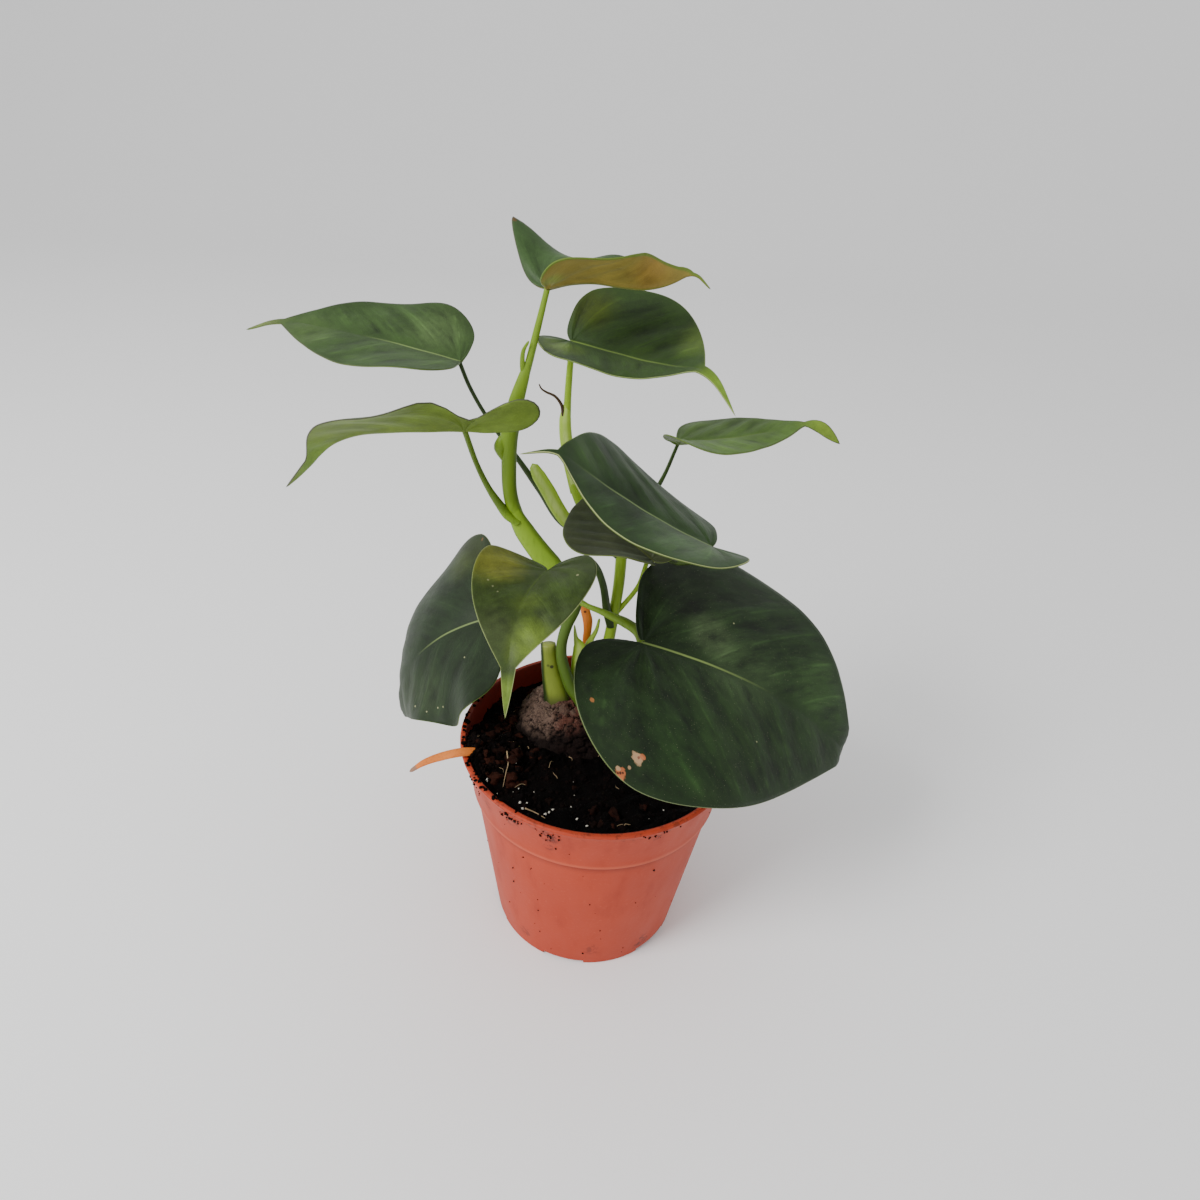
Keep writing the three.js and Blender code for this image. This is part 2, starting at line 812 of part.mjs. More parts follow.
// The pot's radius at a height, inside the wall.
function insideRadius(z) {
  const collarBottom = POT.height - POT.collarHeight;
  if (z < collarBottom) {
    return THREE.MathUtils.mapLinear(z, 0, collarBottom, POT.footRadius, POT.bodyRadius) - POT.wall;
  }
  const rim = POT.rimRadius - POT.rimWidth;
  return THREE.MathUtils.mapLinear(z, collarBottom, POT.height, POT.bodyRadius - POT.wall, rim);
}

function potSolid() {
  const { height, rimRadius, collarRadius, bodyRadius, footRadius, footWidth } = POT;
  const { floor, centreFoot, rimRound: round, bevel, draft } = POT;
  const collarBottom = height - POT.collarHeight;
  const floorTop = floor + POT.floorThickness;
  const footInside = footRadius - footWidth;
  const profile = [
    [0, 0],
    [centreFoot, 0],
    [centreFoot + draft, floor],
    [footInside - bevel, floor],
    [footInside, 0],
    [footRadius - bevel, 0],
    [footRadius, bevel],
    [bodyRadius, collarBottom - bevel],
    [collarRadius - bevel, collarBottom - bevel / 2],
    [collarRadius, collarBottom],
    [rimRadius - bevel / 2, height - round],
  ];
  for (const turn of [30, 60, 90]) {
    const angle = degrees(turn);
    profile.push([rimRadius - round * (1 - Math.cos(angle)), height - round * (1 - Math.sin(angle))]);
  }
  profile.push([insideRadius(height) + bevel, height], [insideRadius(height), height - bevel]);
  profile.push([insideRadius(collarBottom), collarBottom]);
  profile.push([insideRadius(floorTop), floorTop], [0, floorTop]);
  let pot = solidOf(turned(profile, POT.segments));
  for (let i = 0; i < POT.notches; i++) {
    const box = new THREE.BoxGeometry(footRadius, POT.notchWidth, 2 * POT.notchHeight);
    const turn = degrees(POT.notchTurn - 90) + (i / POT.notches) * 2 * Math.PI;
    box.translate(footRadius, 0, 0).rotateZ(turn);
    pot = pot.subtract(solidOf(box));
  }
  for (let i = 0; i < POT.drainHoles; i++) {
    const hole = new THREE.CylinderGeometry(POT.drainRadius, POT.drainRadius, 4 * floorTop, 16);
    hole.rotateX(Math.PI / 2).translate(POT.drainCircle, 0, 0);
    pot = pot.subtract(solidOf(hole.rotateZ((i / POT.drainHoles) * 2 * Math.PI)));
  }
  return pot;
}

// The soil's surface: higher at the front, heaped at the left, and rough.
function soilHeight(x, y) {
  const fromHeap = Math.hypot(x - SOIL.heapAt[0], y - SOIL.heapAt[1]) / SOIL.heapSpread;
  const heap = SOIL.heap * Math.exp(-(fromHeap ** 2));
  return SOIL.level - (SOIL.rise * y) / POT.rimRadius + heap + SOIL.rough * rough(x, y, 0, 4);
}

function soilSolid() {
  const vertices = [];
  const faces = [];
  const { segments } = POT;
  const rings = [0.16, 0.34, 0.52, 0.7, 0.86, 1];
  const edge = insideRadius(SOIL.level) - GAP;
  const floorTop = POT.floor + POT.floorThickness + GAP;
  const ringPoint = (share, i) => {
    const turn = (i / segments) * 2 * Math.PI;
    const [x, y] = [Math.sin(turn), -Math.cos(turn)];
    const edgeHeight = Math.min(soilHeight(edge * x, edge * y), POT.height);
    const radius = share * (insideRadius(edgeHeight) - GAP);
    return new THREE.Vector3(radius * x, radius * y, soilHeight(radius * x, radius * y));
  };
  const wallPoint = (z, i) => {
    const turn = (i / segments) * 2 * Math.PI;
    const radius = insideRadius(z) - GAP;
    return new THREE.Vector3(radius * Math.sin(turn), -radius * Math.cos(turn), z);
  };
  vertices.push(new THREE.Vector3(0, 0, soilHeight(0, 0)));
  for (const share of rings) {
    for (let i = 0; i < segments; i++) vertices.push(ringPoint(share, i));
  }
  for (const z of [POT.height - POT.collarHeight, floorTop]) {
    for (let i = 0; i < segments; i++) vertices.push(wallPoint(z, i));
  }
  vertices.push(new THREE.Vector3(0, 0, floorTop));
  const ringCount = rings.length + 2;
  const bottom = vertices.length - 1;
  for (let i = 0; i < segments; i++) {
    const next = (i + 1) % segments;
    faces.push([0, 1 + i, 1 + next]);
    for (let ring = 0; ring < ringCount - 1; ring++) {
      const a = 1 + ring * segments + i;
      const b = 1 + ring * segments + next;
      faces.push([a, a + segments, b + segments], [a, b + segments, b]);
    }
    const last = 1 + (ringCount - 1) * segments;
    faces.push([bottom, last + next, last + i]);
  }
  return solidOf(geometryFrom(vertices, faces));
}

// The old peat plug: a rough mound that widens into the soil. `grow` makes its hole in the soil.
function plugSolid(grow = 0) {
  const { bottom, radius, wide, shoulder, crown, top, centre } = PLUG;
  const middle = (wide + shoulder[1]) / 2;
  const profile = [
    [0, bottom - grow],
    [radius - 3 + grow, bottom - grow],
    [radius + grow, bottom + 8],
    [radius + grow, wide],
    [radius - 2 + grow, middle - 1],
    [shoulder[0] + 4 + grow, middle + 2.5],
    [shoulder[0] + grow, shoulder[1]],
    [crown[0], crown[1] + grow],
    [0, top + grow],
  ];
  const geometry = turned(profile, 24);
  geometry.translate(centre[0], centre[1], 0);
  const { position } = geometry.attributes;
  for (let i = 0; i < position.count; i++) {
    const [x, y, z] = [position.getX(i), position.getY(i), position.getZ(i)];
    const dent = 1 + (PLUG.rough * rough(x, y, z, 5)) / radius;
    position.setXY(i, centre[0] + (x - centre[0]) * dent, centre[1] + (y - centre[1]) * dent);
  }
  return solidOf(geometry);
}

// The whole plant in its pot

const standing = [
  stemLeft.trunk,
  stemLeft.sheathLow,
  stemRight.trunk,
  cutStump,
  dryCataphyll,
  greenShoot,
];
const plug = standing.reduce((whole, piece) => whole.subtract(tube(piece, GAP)), plugSolid());
const soil = soilSolid().subtract(plugSolid(GAP)).subtract(tube(dryStrip, GAP));

const SURFACES = {
  pot: { color: 0xbc5c44, roughness: 0.55 },
  soil: { color: 0x1d1613, roughness: 1 },
  plug: { color: 0x584a40, roughness: 1 },
  stemGreen: { color: 0x6e911e, roughness: 0.45 },
  stemPale: { color: 0x8aa34a, roughness: 0.5 },
  leafDark: { color: 0x2d4128, roughness: 0.5 },
  leafMid: { color: 0x4b6946, roughness: 0.5 },
  leafLight: { color: 0x5f7837, roughness: 0.5 },
  dry: { color: 0xc7722f, roughness: 0.8 },
  shoot: { color: 0x7fa33a, roughness: 0.5 },
};

const LEAF_SURFACES = {
  leaf_3: "leafMid",
  leaf_4: "leafLight",
  leaf_5: "leafLight",
};

const plant = new THREE.Group();

function addPiece(name, geometry, surface) {
  const material = new THREE.MeshStandardMaterial({ ...SURFACES[surface], metalness: 0 });
  const mesh = new THREE.Mesh(geometry, material);
  mesh.name = name;
  plant.add(mesh);
}

const tubesOf = (group) => joined(Object.values(group).map((piece) => tube(piece)));

addPiece("pot", geometryOf(potSolid()), "pot");
addPiece("soil", geometryOf(soil), "soil");
addPiece("root_plug", geometryOf(plug), "plug");
addPiece("stem_left", geometryOf(tubesOf(stemLeft)), "stemGreen");
addPiece("stem_right", geometryOf(tubesOf(stemRight)), "stemGreen");
addPiece("cut_stump", geometryOf(tube(cutStump)), "stemPale");
addPiece("dry_cataphyll", geometryOf(tube(dryCataphyll)), "dry");
addPiece("green_shoot", geometryOf(tube(greenShoot)), "shoot");
addPiece("dry_strip", geometryOf(tube(dryStrip)), "dry");
for (const leaf of LEAVES) {
  const blade = thickened(bladeSurface(leaf), BLADE.thickness);
  addPiece(leaf.name, blade, LEAF_SURFACES[leaf.name] ?? "leafDark");
}

export default plant;
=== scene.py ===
import math
from itertools import combinations
from types import SimpleNamespace as Values

import bmesh
import bpy
import numpy as np
from mathutils import Euler, Matrix, Vector


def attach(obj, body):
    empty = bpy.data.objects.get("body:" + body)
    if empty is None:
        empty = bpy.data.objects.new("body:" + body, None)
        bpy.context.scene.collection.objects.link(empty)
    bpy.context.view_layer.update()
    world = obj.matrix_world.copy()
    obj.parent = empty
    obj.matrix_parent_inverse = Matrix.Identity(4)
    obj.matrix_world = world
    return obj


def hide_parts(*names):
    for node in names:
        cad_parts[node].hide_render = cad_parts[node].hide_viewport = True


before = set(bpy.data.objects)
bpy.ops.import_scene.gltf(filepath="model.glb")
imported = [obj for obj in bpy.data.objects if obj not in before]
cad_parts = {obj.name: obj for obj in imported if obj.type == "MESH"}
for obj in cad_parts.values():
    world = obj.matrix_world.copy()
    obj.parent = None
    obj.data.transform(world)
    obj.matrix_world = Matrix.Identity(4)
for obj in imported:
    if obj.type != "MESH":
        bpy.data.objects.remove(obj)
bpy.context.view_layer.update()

# Sizes are in millimetres and angles in degrees. Colours are screen values between 0 and 255.
MM = 0.001
FULL_TURN = 2 * math.pi

# Driving sizes
POT = Values(
    rim_radius=60.0, height=100.7, ledge=77.0, collar_radius=54.8, collar_flare=1.3,
    body_radius=54.0, tuck=0.5, foot_radius=43.0, foot_width=3.5, wall=1.5, rim_width=2.6,
    rim_round=1.2, bevel=0.6, floor=3.2, floor_thickness=2.0, centre_foot=8.0, notches=6,
    notch_turn=-10.0, notch_width=19.0, notch_height=2.2, drain_holes=6, drain_radius=4.0,
    drain_circle=25.0, segments=192,
)
SOIL = Values(
    level=93.5, rise=4.8, heap=7.0, heap_at=(-50.0, -16.0), heap_spread=15.0, unevenness=1.5,
    grain=4.2, gap=0.25, rings=59, segments=160,
)
PLUG = Values(
    centre=(-11.0, 16.0), bottom=62.0, radius=26.0, wide=92.0, shoulder=(17.0, 106.5),
    crown=(11.0, 108.9), top=109.5, segments=200,
)
BLADE = Values(middle=0.62, margin=0.34, relief=0.24, rib=0.7, veins=7, rings=26, curves=(12, 16, 40, 12))


def leaf(joint, turns, sizes, neck, left, right, bends, waves, sway=0, twist=0, waist=(0, 0, 1)):
    """A leaf: turns are heading, pitch and roll, sizes are blade length and drip tip, and neck
    holds half widths along the drip tip. left and right give each half's width, lobe behind the
    joint, the station where it is widest, its fullness after that, its fold at the joint and the
    tip, its cup, and its wave's height and phase. bends are arch, its power, drip bend, lobe drop
    and sideways turn. waist narrows the left half beside the joint: depth, place and spread."""
    names = ("width", "lobe", "station", "full", "fold", "cup", "wave")
    return Values(
        joint=joint, turns=turns, length=sizes[0], drip=sizes[1], neck=neck,
        halves=[Values(**dict(zip(names, half))) for half in (left, right)],
        arch=bends[:2], drip_bend=bends[2], lobe_drop=bends[3], sideways=bends[4],
        waves=waves, sway=sway, twist=twist, waist=waist,
    )


LEAVES = {
    "leaf_1": leaf(
        (-29.5, 4.5, 284.5), (6, 17, -11), (49, 7.5), (0.8, 0.45, 0.4),
        (22, 6, -4.5, 0.36, (58, 5), -9, (-8, 0)), (22.5, 1, 9, 0.5, (7, 58), -2, (-3, -90)),
        (-17, 1.3, 75, 10, 0), 1.2, sway=15,
    ),
    "leaf_2": leaf(
        (-22, 28.5, 261.5), (-21, -4, 18), (58.5, 22), (2.2, 1.5, 0.7),
        (28, 5, 18.5, 0.42, (26, 10), 10, (-1, 30)),
        (25, 8.5, 9.5, 0.4, (26, -1), -1, (2, -70)),
        (-30, 1.4, 56, -17, 29), 1.1, twist=15,
    ),
    "leaf_3": leaf(
        (-63.5, 27.5, 251), (179, 11, -13), (69, 18), (1.7, 1.5, 1.5),
        (28.5, 1, 11, 0.54, (24, -8), -6, (1, -30)), (26.5, 2, 16, 0.46, (11, 9), 3, (2, 10)),
        (12, 1.4, 22, -4, 6), 1.5,
    ),
    "leaf_4": leaf(
        (-55, -8.5, 238.5), (188, 1, -9), (62, 20.5), (3.2, 3, 1.2),
        (28.5, 19, 18.5, 0.1, (62, 30), -2, (-7, 0)),
        (26.5, 5.5, 9.5, 0.24, (-24, -7), -5, (0, 0)),
        (55, 0.9, -8, 29, 19), 0.7, sway=-8, waist=(0.8, -1.5, 9),
    ),
    "leaf_5": leaf(
        (-23.5, -19, 191), (251, 6, 11), (49, 16.5), (2.5, 2.0, 1.2),
        (22.5, 7.5, 12, 0.38, (20, -6), -18, (-0.5, 60)), (23, 4, 4, 0.34, (13, 15), 21, (1, 20)),
        (58, 1.6, -9, -11, -12), 1.3,
    ),
    "leaf_6": leaf(
        (34, -16.5, 205.5), (183, 20, -10), (68.5, 12.5), (1.1, 0.45, 0.35),
        (28.5, 12, 18.5, 0.52, (28, -18), -9, (2.5, -30)), (32, 3.5, 23, 0.64, (0, 25), -27, (-1, 70)),
        (-27, 0.7, 48, -24, -19), 0.8,
    ),
    "leaf_7": leaf(
        (14.5, 2, 188), (149, 23, -23), (40.5, 1), (1.6, 0.6, 0.4),
        (25.5, 4.5, 14, 0.58, (45, -11), 8, (2.5, 80)), (23.5, 7, 5.5, 0.42, (12, 8), 6, (0, 0)),
        (14, 1.4, 72, -13, 8), 1.3,
    ),
    "leaf_8": leaf(
        (20.5, 18, 230.5), (-9, 9, 3), (46.5, 16.5), (1.2, 3, 2.2),
        (19.5, 1.5, 7.5, 0.34, (7, 10), -10, (-0.5, 20)),
        (20, 4.5, 7.5, 0.38, (26, -20), 1, (-1.5, -40)),
        (-15, 1.3, 61, -6, -9), 1.1, twist=70,
    ),
    "leaf_9": leaf(
        (14, -17, 162), (0, -13, 27), (106.0, 3), (1.8, 0.7, 0.5),
        (56, 5.5, 34.5, 0.48, (3, 10), -24, (2.5, 0)), (62, 26.5, 8, 0.5, (17, -3), -12, (-2, 30)),
        (38, 1.5, 75, -13, 12), 1.6,
    ),
    "leaf_10": leaf(
        (-55.5, 35.5, 132), (174, -25, -24), (86, 1.5), (1.8, 0.7, 0.5),
        (46.3, 9, 10, 0.44, (-6, -5), -1, (7, 65)), (49.8, 10, 16.5, 0.38, (28, -16), -37, (-3, -80)),
        (69, 1.4, 19, -15, -29), 1.5,
    ),
}


# Meshes and objects

def add_object(name, data):
    item = bpy.data.objects.new(name, data)
    bpy.context.scene.collection.objects.link(item)
    return item


def add_mesh(name, points, faces, materials=()):
    """A smooth mesh object from points in millimetres."""
    mesh = bpy.data.meshes.new(name)
    mesh.from_pydata((np.asarray(points) * MM).tolist(), [], [list(map(int, f)) for f in faces])
    mesh.validate()
    for surface in materials:
        mesh.materials.append(surface)
    mesh.polygons.foreach_set("use_smooth", [True] * len(mesh.polygons))
    return add_object(name, mesh)


def add_piece(name, points, faces, materials, replaces=()):
    """A mesh object that rides on the plant's one body."""
    piece = add_mesh(name, points, faces, materials)
    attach(piece, "root")
    if replaces:
        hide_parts(*replaces)
    return piece


def vertex_values(piece, name, values):
    """Store a vector for each vertex, for the materials."""
    attribute = piece.data.attributes.new(name, "FLOAT_VECTOR", "POINT")
    attribute.data.foreach_set("vector", np.asarray(values, dtype=np.float32).ravel())


def rough(x, y, z, scale):
    """A repeatable roughness between -1 and 1, the same as in the solids."""
    a = np.sin((x * 1.7 + y * 0.6 + z * 0.9) / scale)
    b = np.sin((y * 1.9 - x * 0.8 + z * 1.3) / scale + 1.3)
    c = np.sin((z * 1.5 + x * 1.1 - y * 1.2) / scale + 4.1)
    return (a + b + c) / 3


def fractal(x, y, z, scale, octaves):
    """Rougher still: several layers of roughness, each finer and weaker."""
    total = 0
    for octave in range(octaves):
        total = total + rough(x + 7 * octave, y - 3 * octave, z, scale / 2.1**octave) / 1.8**octave
    return total


def ring(radius, z, sides):
    """Points round the upright axis. The radius and the height may differ from point to point."""
    turns = np.arange(sides) / sides * FULL_TURN
    return np.stack([radius * np.cos(turns), radius * np.sin(turns), z + 0 * turns], axis=1)


def grid_faces(rows, columns, closed=False, first=0):
    """Quads of a grid of points stored row by row; closed joins the last column to the first."""
    faces = []
    for row in range(rows - 1):
        for column in range(columns if closed else columns - 1):
            a = first + row * columns + column
            b = first + row * columns + (column + 1) % columns
            faces.append((a, b, b + columns, a + columns))
    return faces


def closed_rows(rows, start, end):
    """A closed surface over rings of points, drawn together to a point at the start and the end."""
    sides = len(rows[0])
    faces = grid_faces(len(rows), sides, closed=True, first=1)
    last = 1 + (len(rows) - 1) * sides
    for i in range(sides):
        following = (i + 1) % sides
        faces.append((0, 1 + following, 1 + i))
        faces.append((last + sides, last + i, last + following))
    return np.concatenate([[start], *rows, [end]]), faces


def turned(profile, sides):
    """A closed solid turned about the upright axis from a profile that starts and ends on it."""
    rows = [ring(radius, z, sides) for radius, z in profile[1:-1]]
    return closed_rows(rows, (0, 0, profile[0][1]), (0, 0, profile[-1][1]))


# Materials

def shader_colour(tone):
    shares = [value / 255 for value in tone]
    return (*(s / 12.92 if s <= 0.04045 else ((s + 0.055) / 1.055) ** 2.4 for s in shares), 1.0)


class Term:
    """A value that varies over a surface. Sums, differences and products of terms are nodes."""

    def __init__(self, surface, socket):
        self.surface = surface
        self.socket = socket

    def __add__(self, other):
        return self.surface.math("ADD", self, other)

    def __sub__(self, other):
        return self.surface.math("SUBTRACT", self, other)

    def __mul__(self, other):
        return self.surface.math("MULTIPLY", self, other)

    __radd__ = __add__
    __rmul__ = __mul__


class Surface:
    """A material being built from nodes, on which tones are painted one over the other."""

    def __init__(self, name, roughness, specular, sheen=0.0):
        self.material = bpy.data.materials.new(name)
        self.material.use_nodes = True
        self.tree = self.material.node_tree
        self.shader = self.tree.nodes["Principled BSDF"].inputs
        self.shader["Roughness"].default_value = roughness
        self.shader["Specular IOR Level"].default_value = specular
        self.shader["Sheen Weight"].default_value = sheen
        self.place = self.term("TexCoord", out="Object")
        self.colour = None

    def set(self, socket, value):
        if isinstance(value, Term):
            self.tree.links.new(value.socket, socket)
        else:
            socket.default_value = value

    def node(self, kind, inputs=(), **settings):
        """The outputs of a new node, from its inputs by name or number and its settings."""
        node = self.tree.nodes.new("ShaderNode" + kind)
        for key, value in settings.items():
            setattr(node, key, value)
        for key, value in dict(inputs).items():
            self.set(node.inputs[key], value)
        return node.outputs

    def term(self, kind, inputs=(), out=0, **settings):
        return Term(self, self.node(kind, inputs, **settings)[out])

    def math(self, operation, first, second=0.0):
        return self.term("Math", {0: first, 1: second}, operation=operation)

    def vector(self, operation, first, second=(0, 0, 0), out="Vector"):
        return self.term("VectorMath", {0: first, 1: second}, out, operation=operation)

    def parts(self, vector):
        return [Term(self, socket) for socket in self.node("SeparateXYZ", {0: vector})]

    def stored(self, name):
        """The vector stored for each vertex under a name, and its three parts."""
        vector = self.term("Attribute", out="Vector", attribute_name=name)
        return vector, *self.parts(vector)

    def distance(self, place):
        """The distance in metres of the surface from a place in millimetres."""
        return self.vector("DISTANCE", self.place, tuple(value * MM for value in place), "Value")

    def flat_length(self, vector):
        """The length of a vector's first two parts."""
        return self.vector("LENGTH", self.vector("MULTIPLY", vector, (1, 1, 0)), out="Value")

    def noise(self, size, detail, stretch=(1, 1, 1), roughness=0.55, place=None):
        """Noise between 0 and 1 with features of `size` millimetres."""
        stretched = self.vector("MULTIPLY", place or self.place, stretch)
        inputs = {"Vector": stretched, "Scale": 1 / (size * MM), "Detail": detail, "Roughness": roughness}
        return self.term("TexNoise", inputs)

    def step(self, value, start, end, unit=1.0):
        """From 0 at `start` to 1 at `end`, smoothly; end may be below start."""
        low, high = sorted((start * unit, end * unit))
        inputs = {"Value": value, "From Min": low, "From Max": high}
        inputs.update({"To Min": float(end < start), "To Max": float(end > start)})
        return self.term("MapRange", inputs, interpolation_type="SMOOTHSTEP")

    def mix(self, share, first, second):
        """From the first tone to the second as the share goes from 0 to 1."""
        first, second = (t if isinstance(t, Term) else shader_colour(t) for t in (first, second))
        return self.term("Mix", {0: share, 6: first, 7: second}, 2, data_type="RGBA")

    def paint(self, mask, tone):
        """Lay a tone over the colour as far as the mask lets it."""
        self.colour = self.mix(mask, self.colour, tone)

    def shade(self, level):
        """Make the colour lighter or darker by a factor."""
        base = self.colour if isinstance(self.colour, Term) else shader_colour(self.colour)[:3]
        self.colour = self.term("VectorMath", {0: base, "Scale": level}, operation="SCALE")

    def finish(self, roughness=None, relief=None, depth=0.0):
        """The material, with its colour and, where given, its roughness and a bump."""
        self.set(self.shader["Base Color"], self.colour)
        if roughness:
            self.set(self.shader["Roughness"], roughness)
        if relief:
            inputs = {"Strength": 1.0, "Distance": depth * MM, "Height": relief}
            self.set(self.shader["Normal"], self.term("Bump", inputs))
        return self.material


# Pot

def inside_radius(z):
    """The radius of the pot's inner wall at a height."""
    lower = np.interp(z, [0, POT.ledge], [POT.foot_radius, POT.body_radius]) - POT.wall
    ends = [POT.body_radius - POT.wall, POT.rim_radius - POT.rim_width]
    return np.where(np.asarray(z) < POT.ledge, lower, np.interp(z, [POT.ledge, POT.height], ends))


def arc(radius, z, size, turns):
    """Points of a rounded edge about its centre."""
    angles = np.radians(turns)
    return zip(radius + size * np.cos(angles), z + size * np.sin(angles))


def pot_profile():
    """The pot's section from the middle of its foot round to the middle of its inner floor."""
    p = POT
    bevel = p.bevel
    foot_inside = p.foot_radius - p.foot_width
    profile = [(0.0, 0.0), (p.centre_foot, 0.0), (p.centre_foot + 1, p.floor)]
    profile += [(foot_inside - bevel, p.floor), (foot_inside, 0.0), (p.foot_radius - bevel, 0.0)]
    radii = np.linspace(p.foot_radius, p.body_radius - p.tuck, 16)
    profile += zip(radii, np.linspace(bevel, p.ledge - bevel, 16))
    profile.append((p.collar_radius - bevel, p.ledge - bevel / 2))
    profile += arc(p.collar_radius - bevel, p.ledge + bevel / 2, bevel, (-90, -60, -30, 0))
    shares = np.linspace(0, 1, 12)[1:]
    flare = shares**p.collar_flare * (p.rim_radius - bevel / 2 - p.collar_radius)
    heights = p.ledge + 1 + shares * (p.height - p.rim_round - p.ledge - 1)
    profile += zip(p.collar_radius + flare, heights)
    profile += arc(p.rim_radius - p.rim_round, p.height - p.rim_round, p.rim_round, range(15, 91, 15))
    inner = p.rim_radius - p.rim_width
    profile += arc(inner + bevel, p.height - bevel, bevel, (90, 120, 150, 180))
    heights = [*np.linspace(p.height - 2, p.ledge, 6), p.floor + p.floor_thickness]
    profile += zip(inside_radius(heights), heights)
    return profile + [(0.0, heights[-1])]


def block(width, depth, height, distance, angle):
    """A box centred at `distance` from the axis, turned about it."""
    corners = [(x, y, z) for x in (-1, 1) for y in (-1, 1) for z in (-1, 1)]
    points = np.array(corners) * (depth / 2, width / 2, height / 2) + (distance, 0, 0)
    faces = [(0, 1, 3, 2), (4, 6, 7, 5), (0, 4, 5, 1), (2, 3, 7, 6), (0, 2, 6, 4), (1, 5, 7, 3)]
    return points @ np.array(Matrix.Rotation(angle, 3, "Z")).T, faces


def cut_away(piece, cutters):
    """Cut solids out of a piece, and remove them."""
    for tool in cutters:
        modifier = piece.modifiers.new("cut", "BOOLEAN")
        modifier.operation = "DIFFERENCE"
        modifier.solver = "EXACT"
        modifier.object = tool
    shaped = piece.evaluated_get(bpy.context.evaluated_depsgraph_get())
    mesh = bpy.data.meshes.new_from_object(shaped)
    piece.modifiers.clear()
    piece.data = mesh
    for tool in cutters:
        bpy.data.objects.remove(tool)


# Brown stains on the pot: angle round the axis, height, distance from the axis, size and strength
STAINS = [
    (237, 95, 58.5, 6, 0.85), (255, 94.5, 58.5, 6, 0.85), (297, 97, 59, 5, 0.7), (222, 92, 57.5, 5, 0.6),
    (254, 87, 56.5, 3, 0.8), (277, 12, 44.5, 6, 0.5), (309, 8, 44, 7, 0.8), (235, 10, 44.5, 5, 0.5),
    (140, 90, 57, 6, 0.5), (60, 14, 45, 7, 0.5), (30, 93, 58, 5, 0.5),
]


def pot_material():
    s = Surface("pot_plastic_matte", 0.55, 0.25)
    height = s.parts(s.place)[2]
    broad = s.noise(38, 3)
    grain = s.noise(1.3, 3)
    smear = s.noise(9, 5, (1, 1, 0.35))
    s.colour = s.mix(broad, (160, 52, 27), (180, 65, 36))
    s.paint(0.45 * s.step(smear, 0.52, 0.75), (142, 44, 25))
    s.paint(0.3 * s.step(grain, 0.58, 0.78), (196, 92, 62))

    def near_ledge(start, full, fade, end):
        rise = s.step(height, POT.ledge + start, POT.ledge + full, MM)
        return rise * s.step(height, POT.ledge + end, POT.ledge + fade, MM)

    # Painted shade: a darker band just below the collar's ledge.
    s.paint(0.5 * near_ledge(0.4, -0.3, -0.8, -5.5), (112, 34, 20))
    # Painted highlight: a lighter line along the collar's lower edge, just above the ledge.
    s.paint(0.4 * near_ledge(-0.2, 0.4, 0.8, 2.2), (206, 100, 70))
    # Painted shade: darker on the pot's inner wall, and also on the underside inside the foot.
    inside = s.flat_length(s.place) - 0.207 * height
    s.paint(0.8 * s.step(inside, 37.4, 36.8, MM), (84, 18, 10))
    dirt = s.noise(2.0, 6, roughness=0.7)
    s.paint(s.step(dirt, 0.66, 0.74) * s.step(s.noise(24, 2), 0.5, 0.62) * 0.7, (64, 34, 24))
    s.paint(s.step(dirt, 0.5, 0.62) * s.step(height, 94, 100, MM) * 0.55, (74, 34, 22))
    blots = s.step(s.noise(2.6, 5, roughness=0.65), 0.46, 0.58)
    for turn, z, out, size, strength in STAINS:
        turn = math.radians(turn)
        off = s.distance((out * math.cos(turn), out * math.sin(turn), z))
        s.paint(s.step(off, size, 0.3 * size, MM) * blots * strength, (84, 28, 18))
    return s.finish(0.22 * smear + 0.44, grain + 2.0 * broad, 0.05)


def make_pot():
    points, faces = turned(pot_profile(), POT.segments)
    pot = add_piece("pot_moulded", points, faces, [pot_material()], ["pot"])
    cutters = []
    for i in range(POT.notches):
        angle = math.radians(POT.notch_turn - 90) + i / POT.notches * FULL_TURN
        depth = POT.foot_radius
        notch = block(POT.notch_width, depth, 2 * POT.notch_height, depth, angle)
        cutters.append(add_mesh("notch", *notch))
    bottom, top = -5, 15
    profile = [(0, bottom), (POT.drain_radius, bottom), (POT.drain_radius, top), (0, top)]
    for place in ring(POT.drain_circle, 0, POT.drain_holes):
        hole, faces = turned(profile, 32)
        cutters.append(add_mesh("drain", hole + place, faces))
    cut_away(pot, cutters)
    pot.data.polygons.foreach_set("use_smooth", [True] * len(pot.data.polygons))
    pot.data.set_sharp_from_angle(angle=math.radians(32))


# Soil

def soil_height(x, y):
    """The soil's surface: higher at the front and heaped at the left."""
    away = np.hypot(x - SOIL.heap_at[0], y - SOIL.heap_at[1]) / SOIL.heap_spread
    return SOIL.level - SOIL.rise * y / POT.rim_radius + SOIL.heap * np.exp(-(away**2))


def ground(x, y, above=0.0):
    """The place on the soil's rough surface at x and y."""
    return (x, y, soil_height(x, y) + SOIL.unevenness * fractal(x, y, 0, SOIL.grain, 5) + above)


def soil_material(name, dark, light, fleck):
    s = Surface(name, 0.9, 0.06)
    clod = s.noise(4, 8, roughness=0.7)
    patch = s.noise(13, 3)
    grain = s.noise(0.8, 5)
    s.colour = s.mix(clod * s.step(patch, 0.35, 0.65), dark, light)
    s.paint(s.step(grain, 0.62, 0.74) * s.step(patch, 0.42, 0.6) * 0.6, fleck)
    return s.finish(0.35 * grain + 0.6, clod + 0.4 * grain, 0.7)


def plain_material(name, colour, shade):
    """A slightly uneven surface between two colours."""
    s = Surface(name, 0.8, 0.2)
    noise = s.noise(0.6, 3)
    s.colour = s.mix(noise, colour, shade)
    return s.finish(relief=noise, depth=0.1)


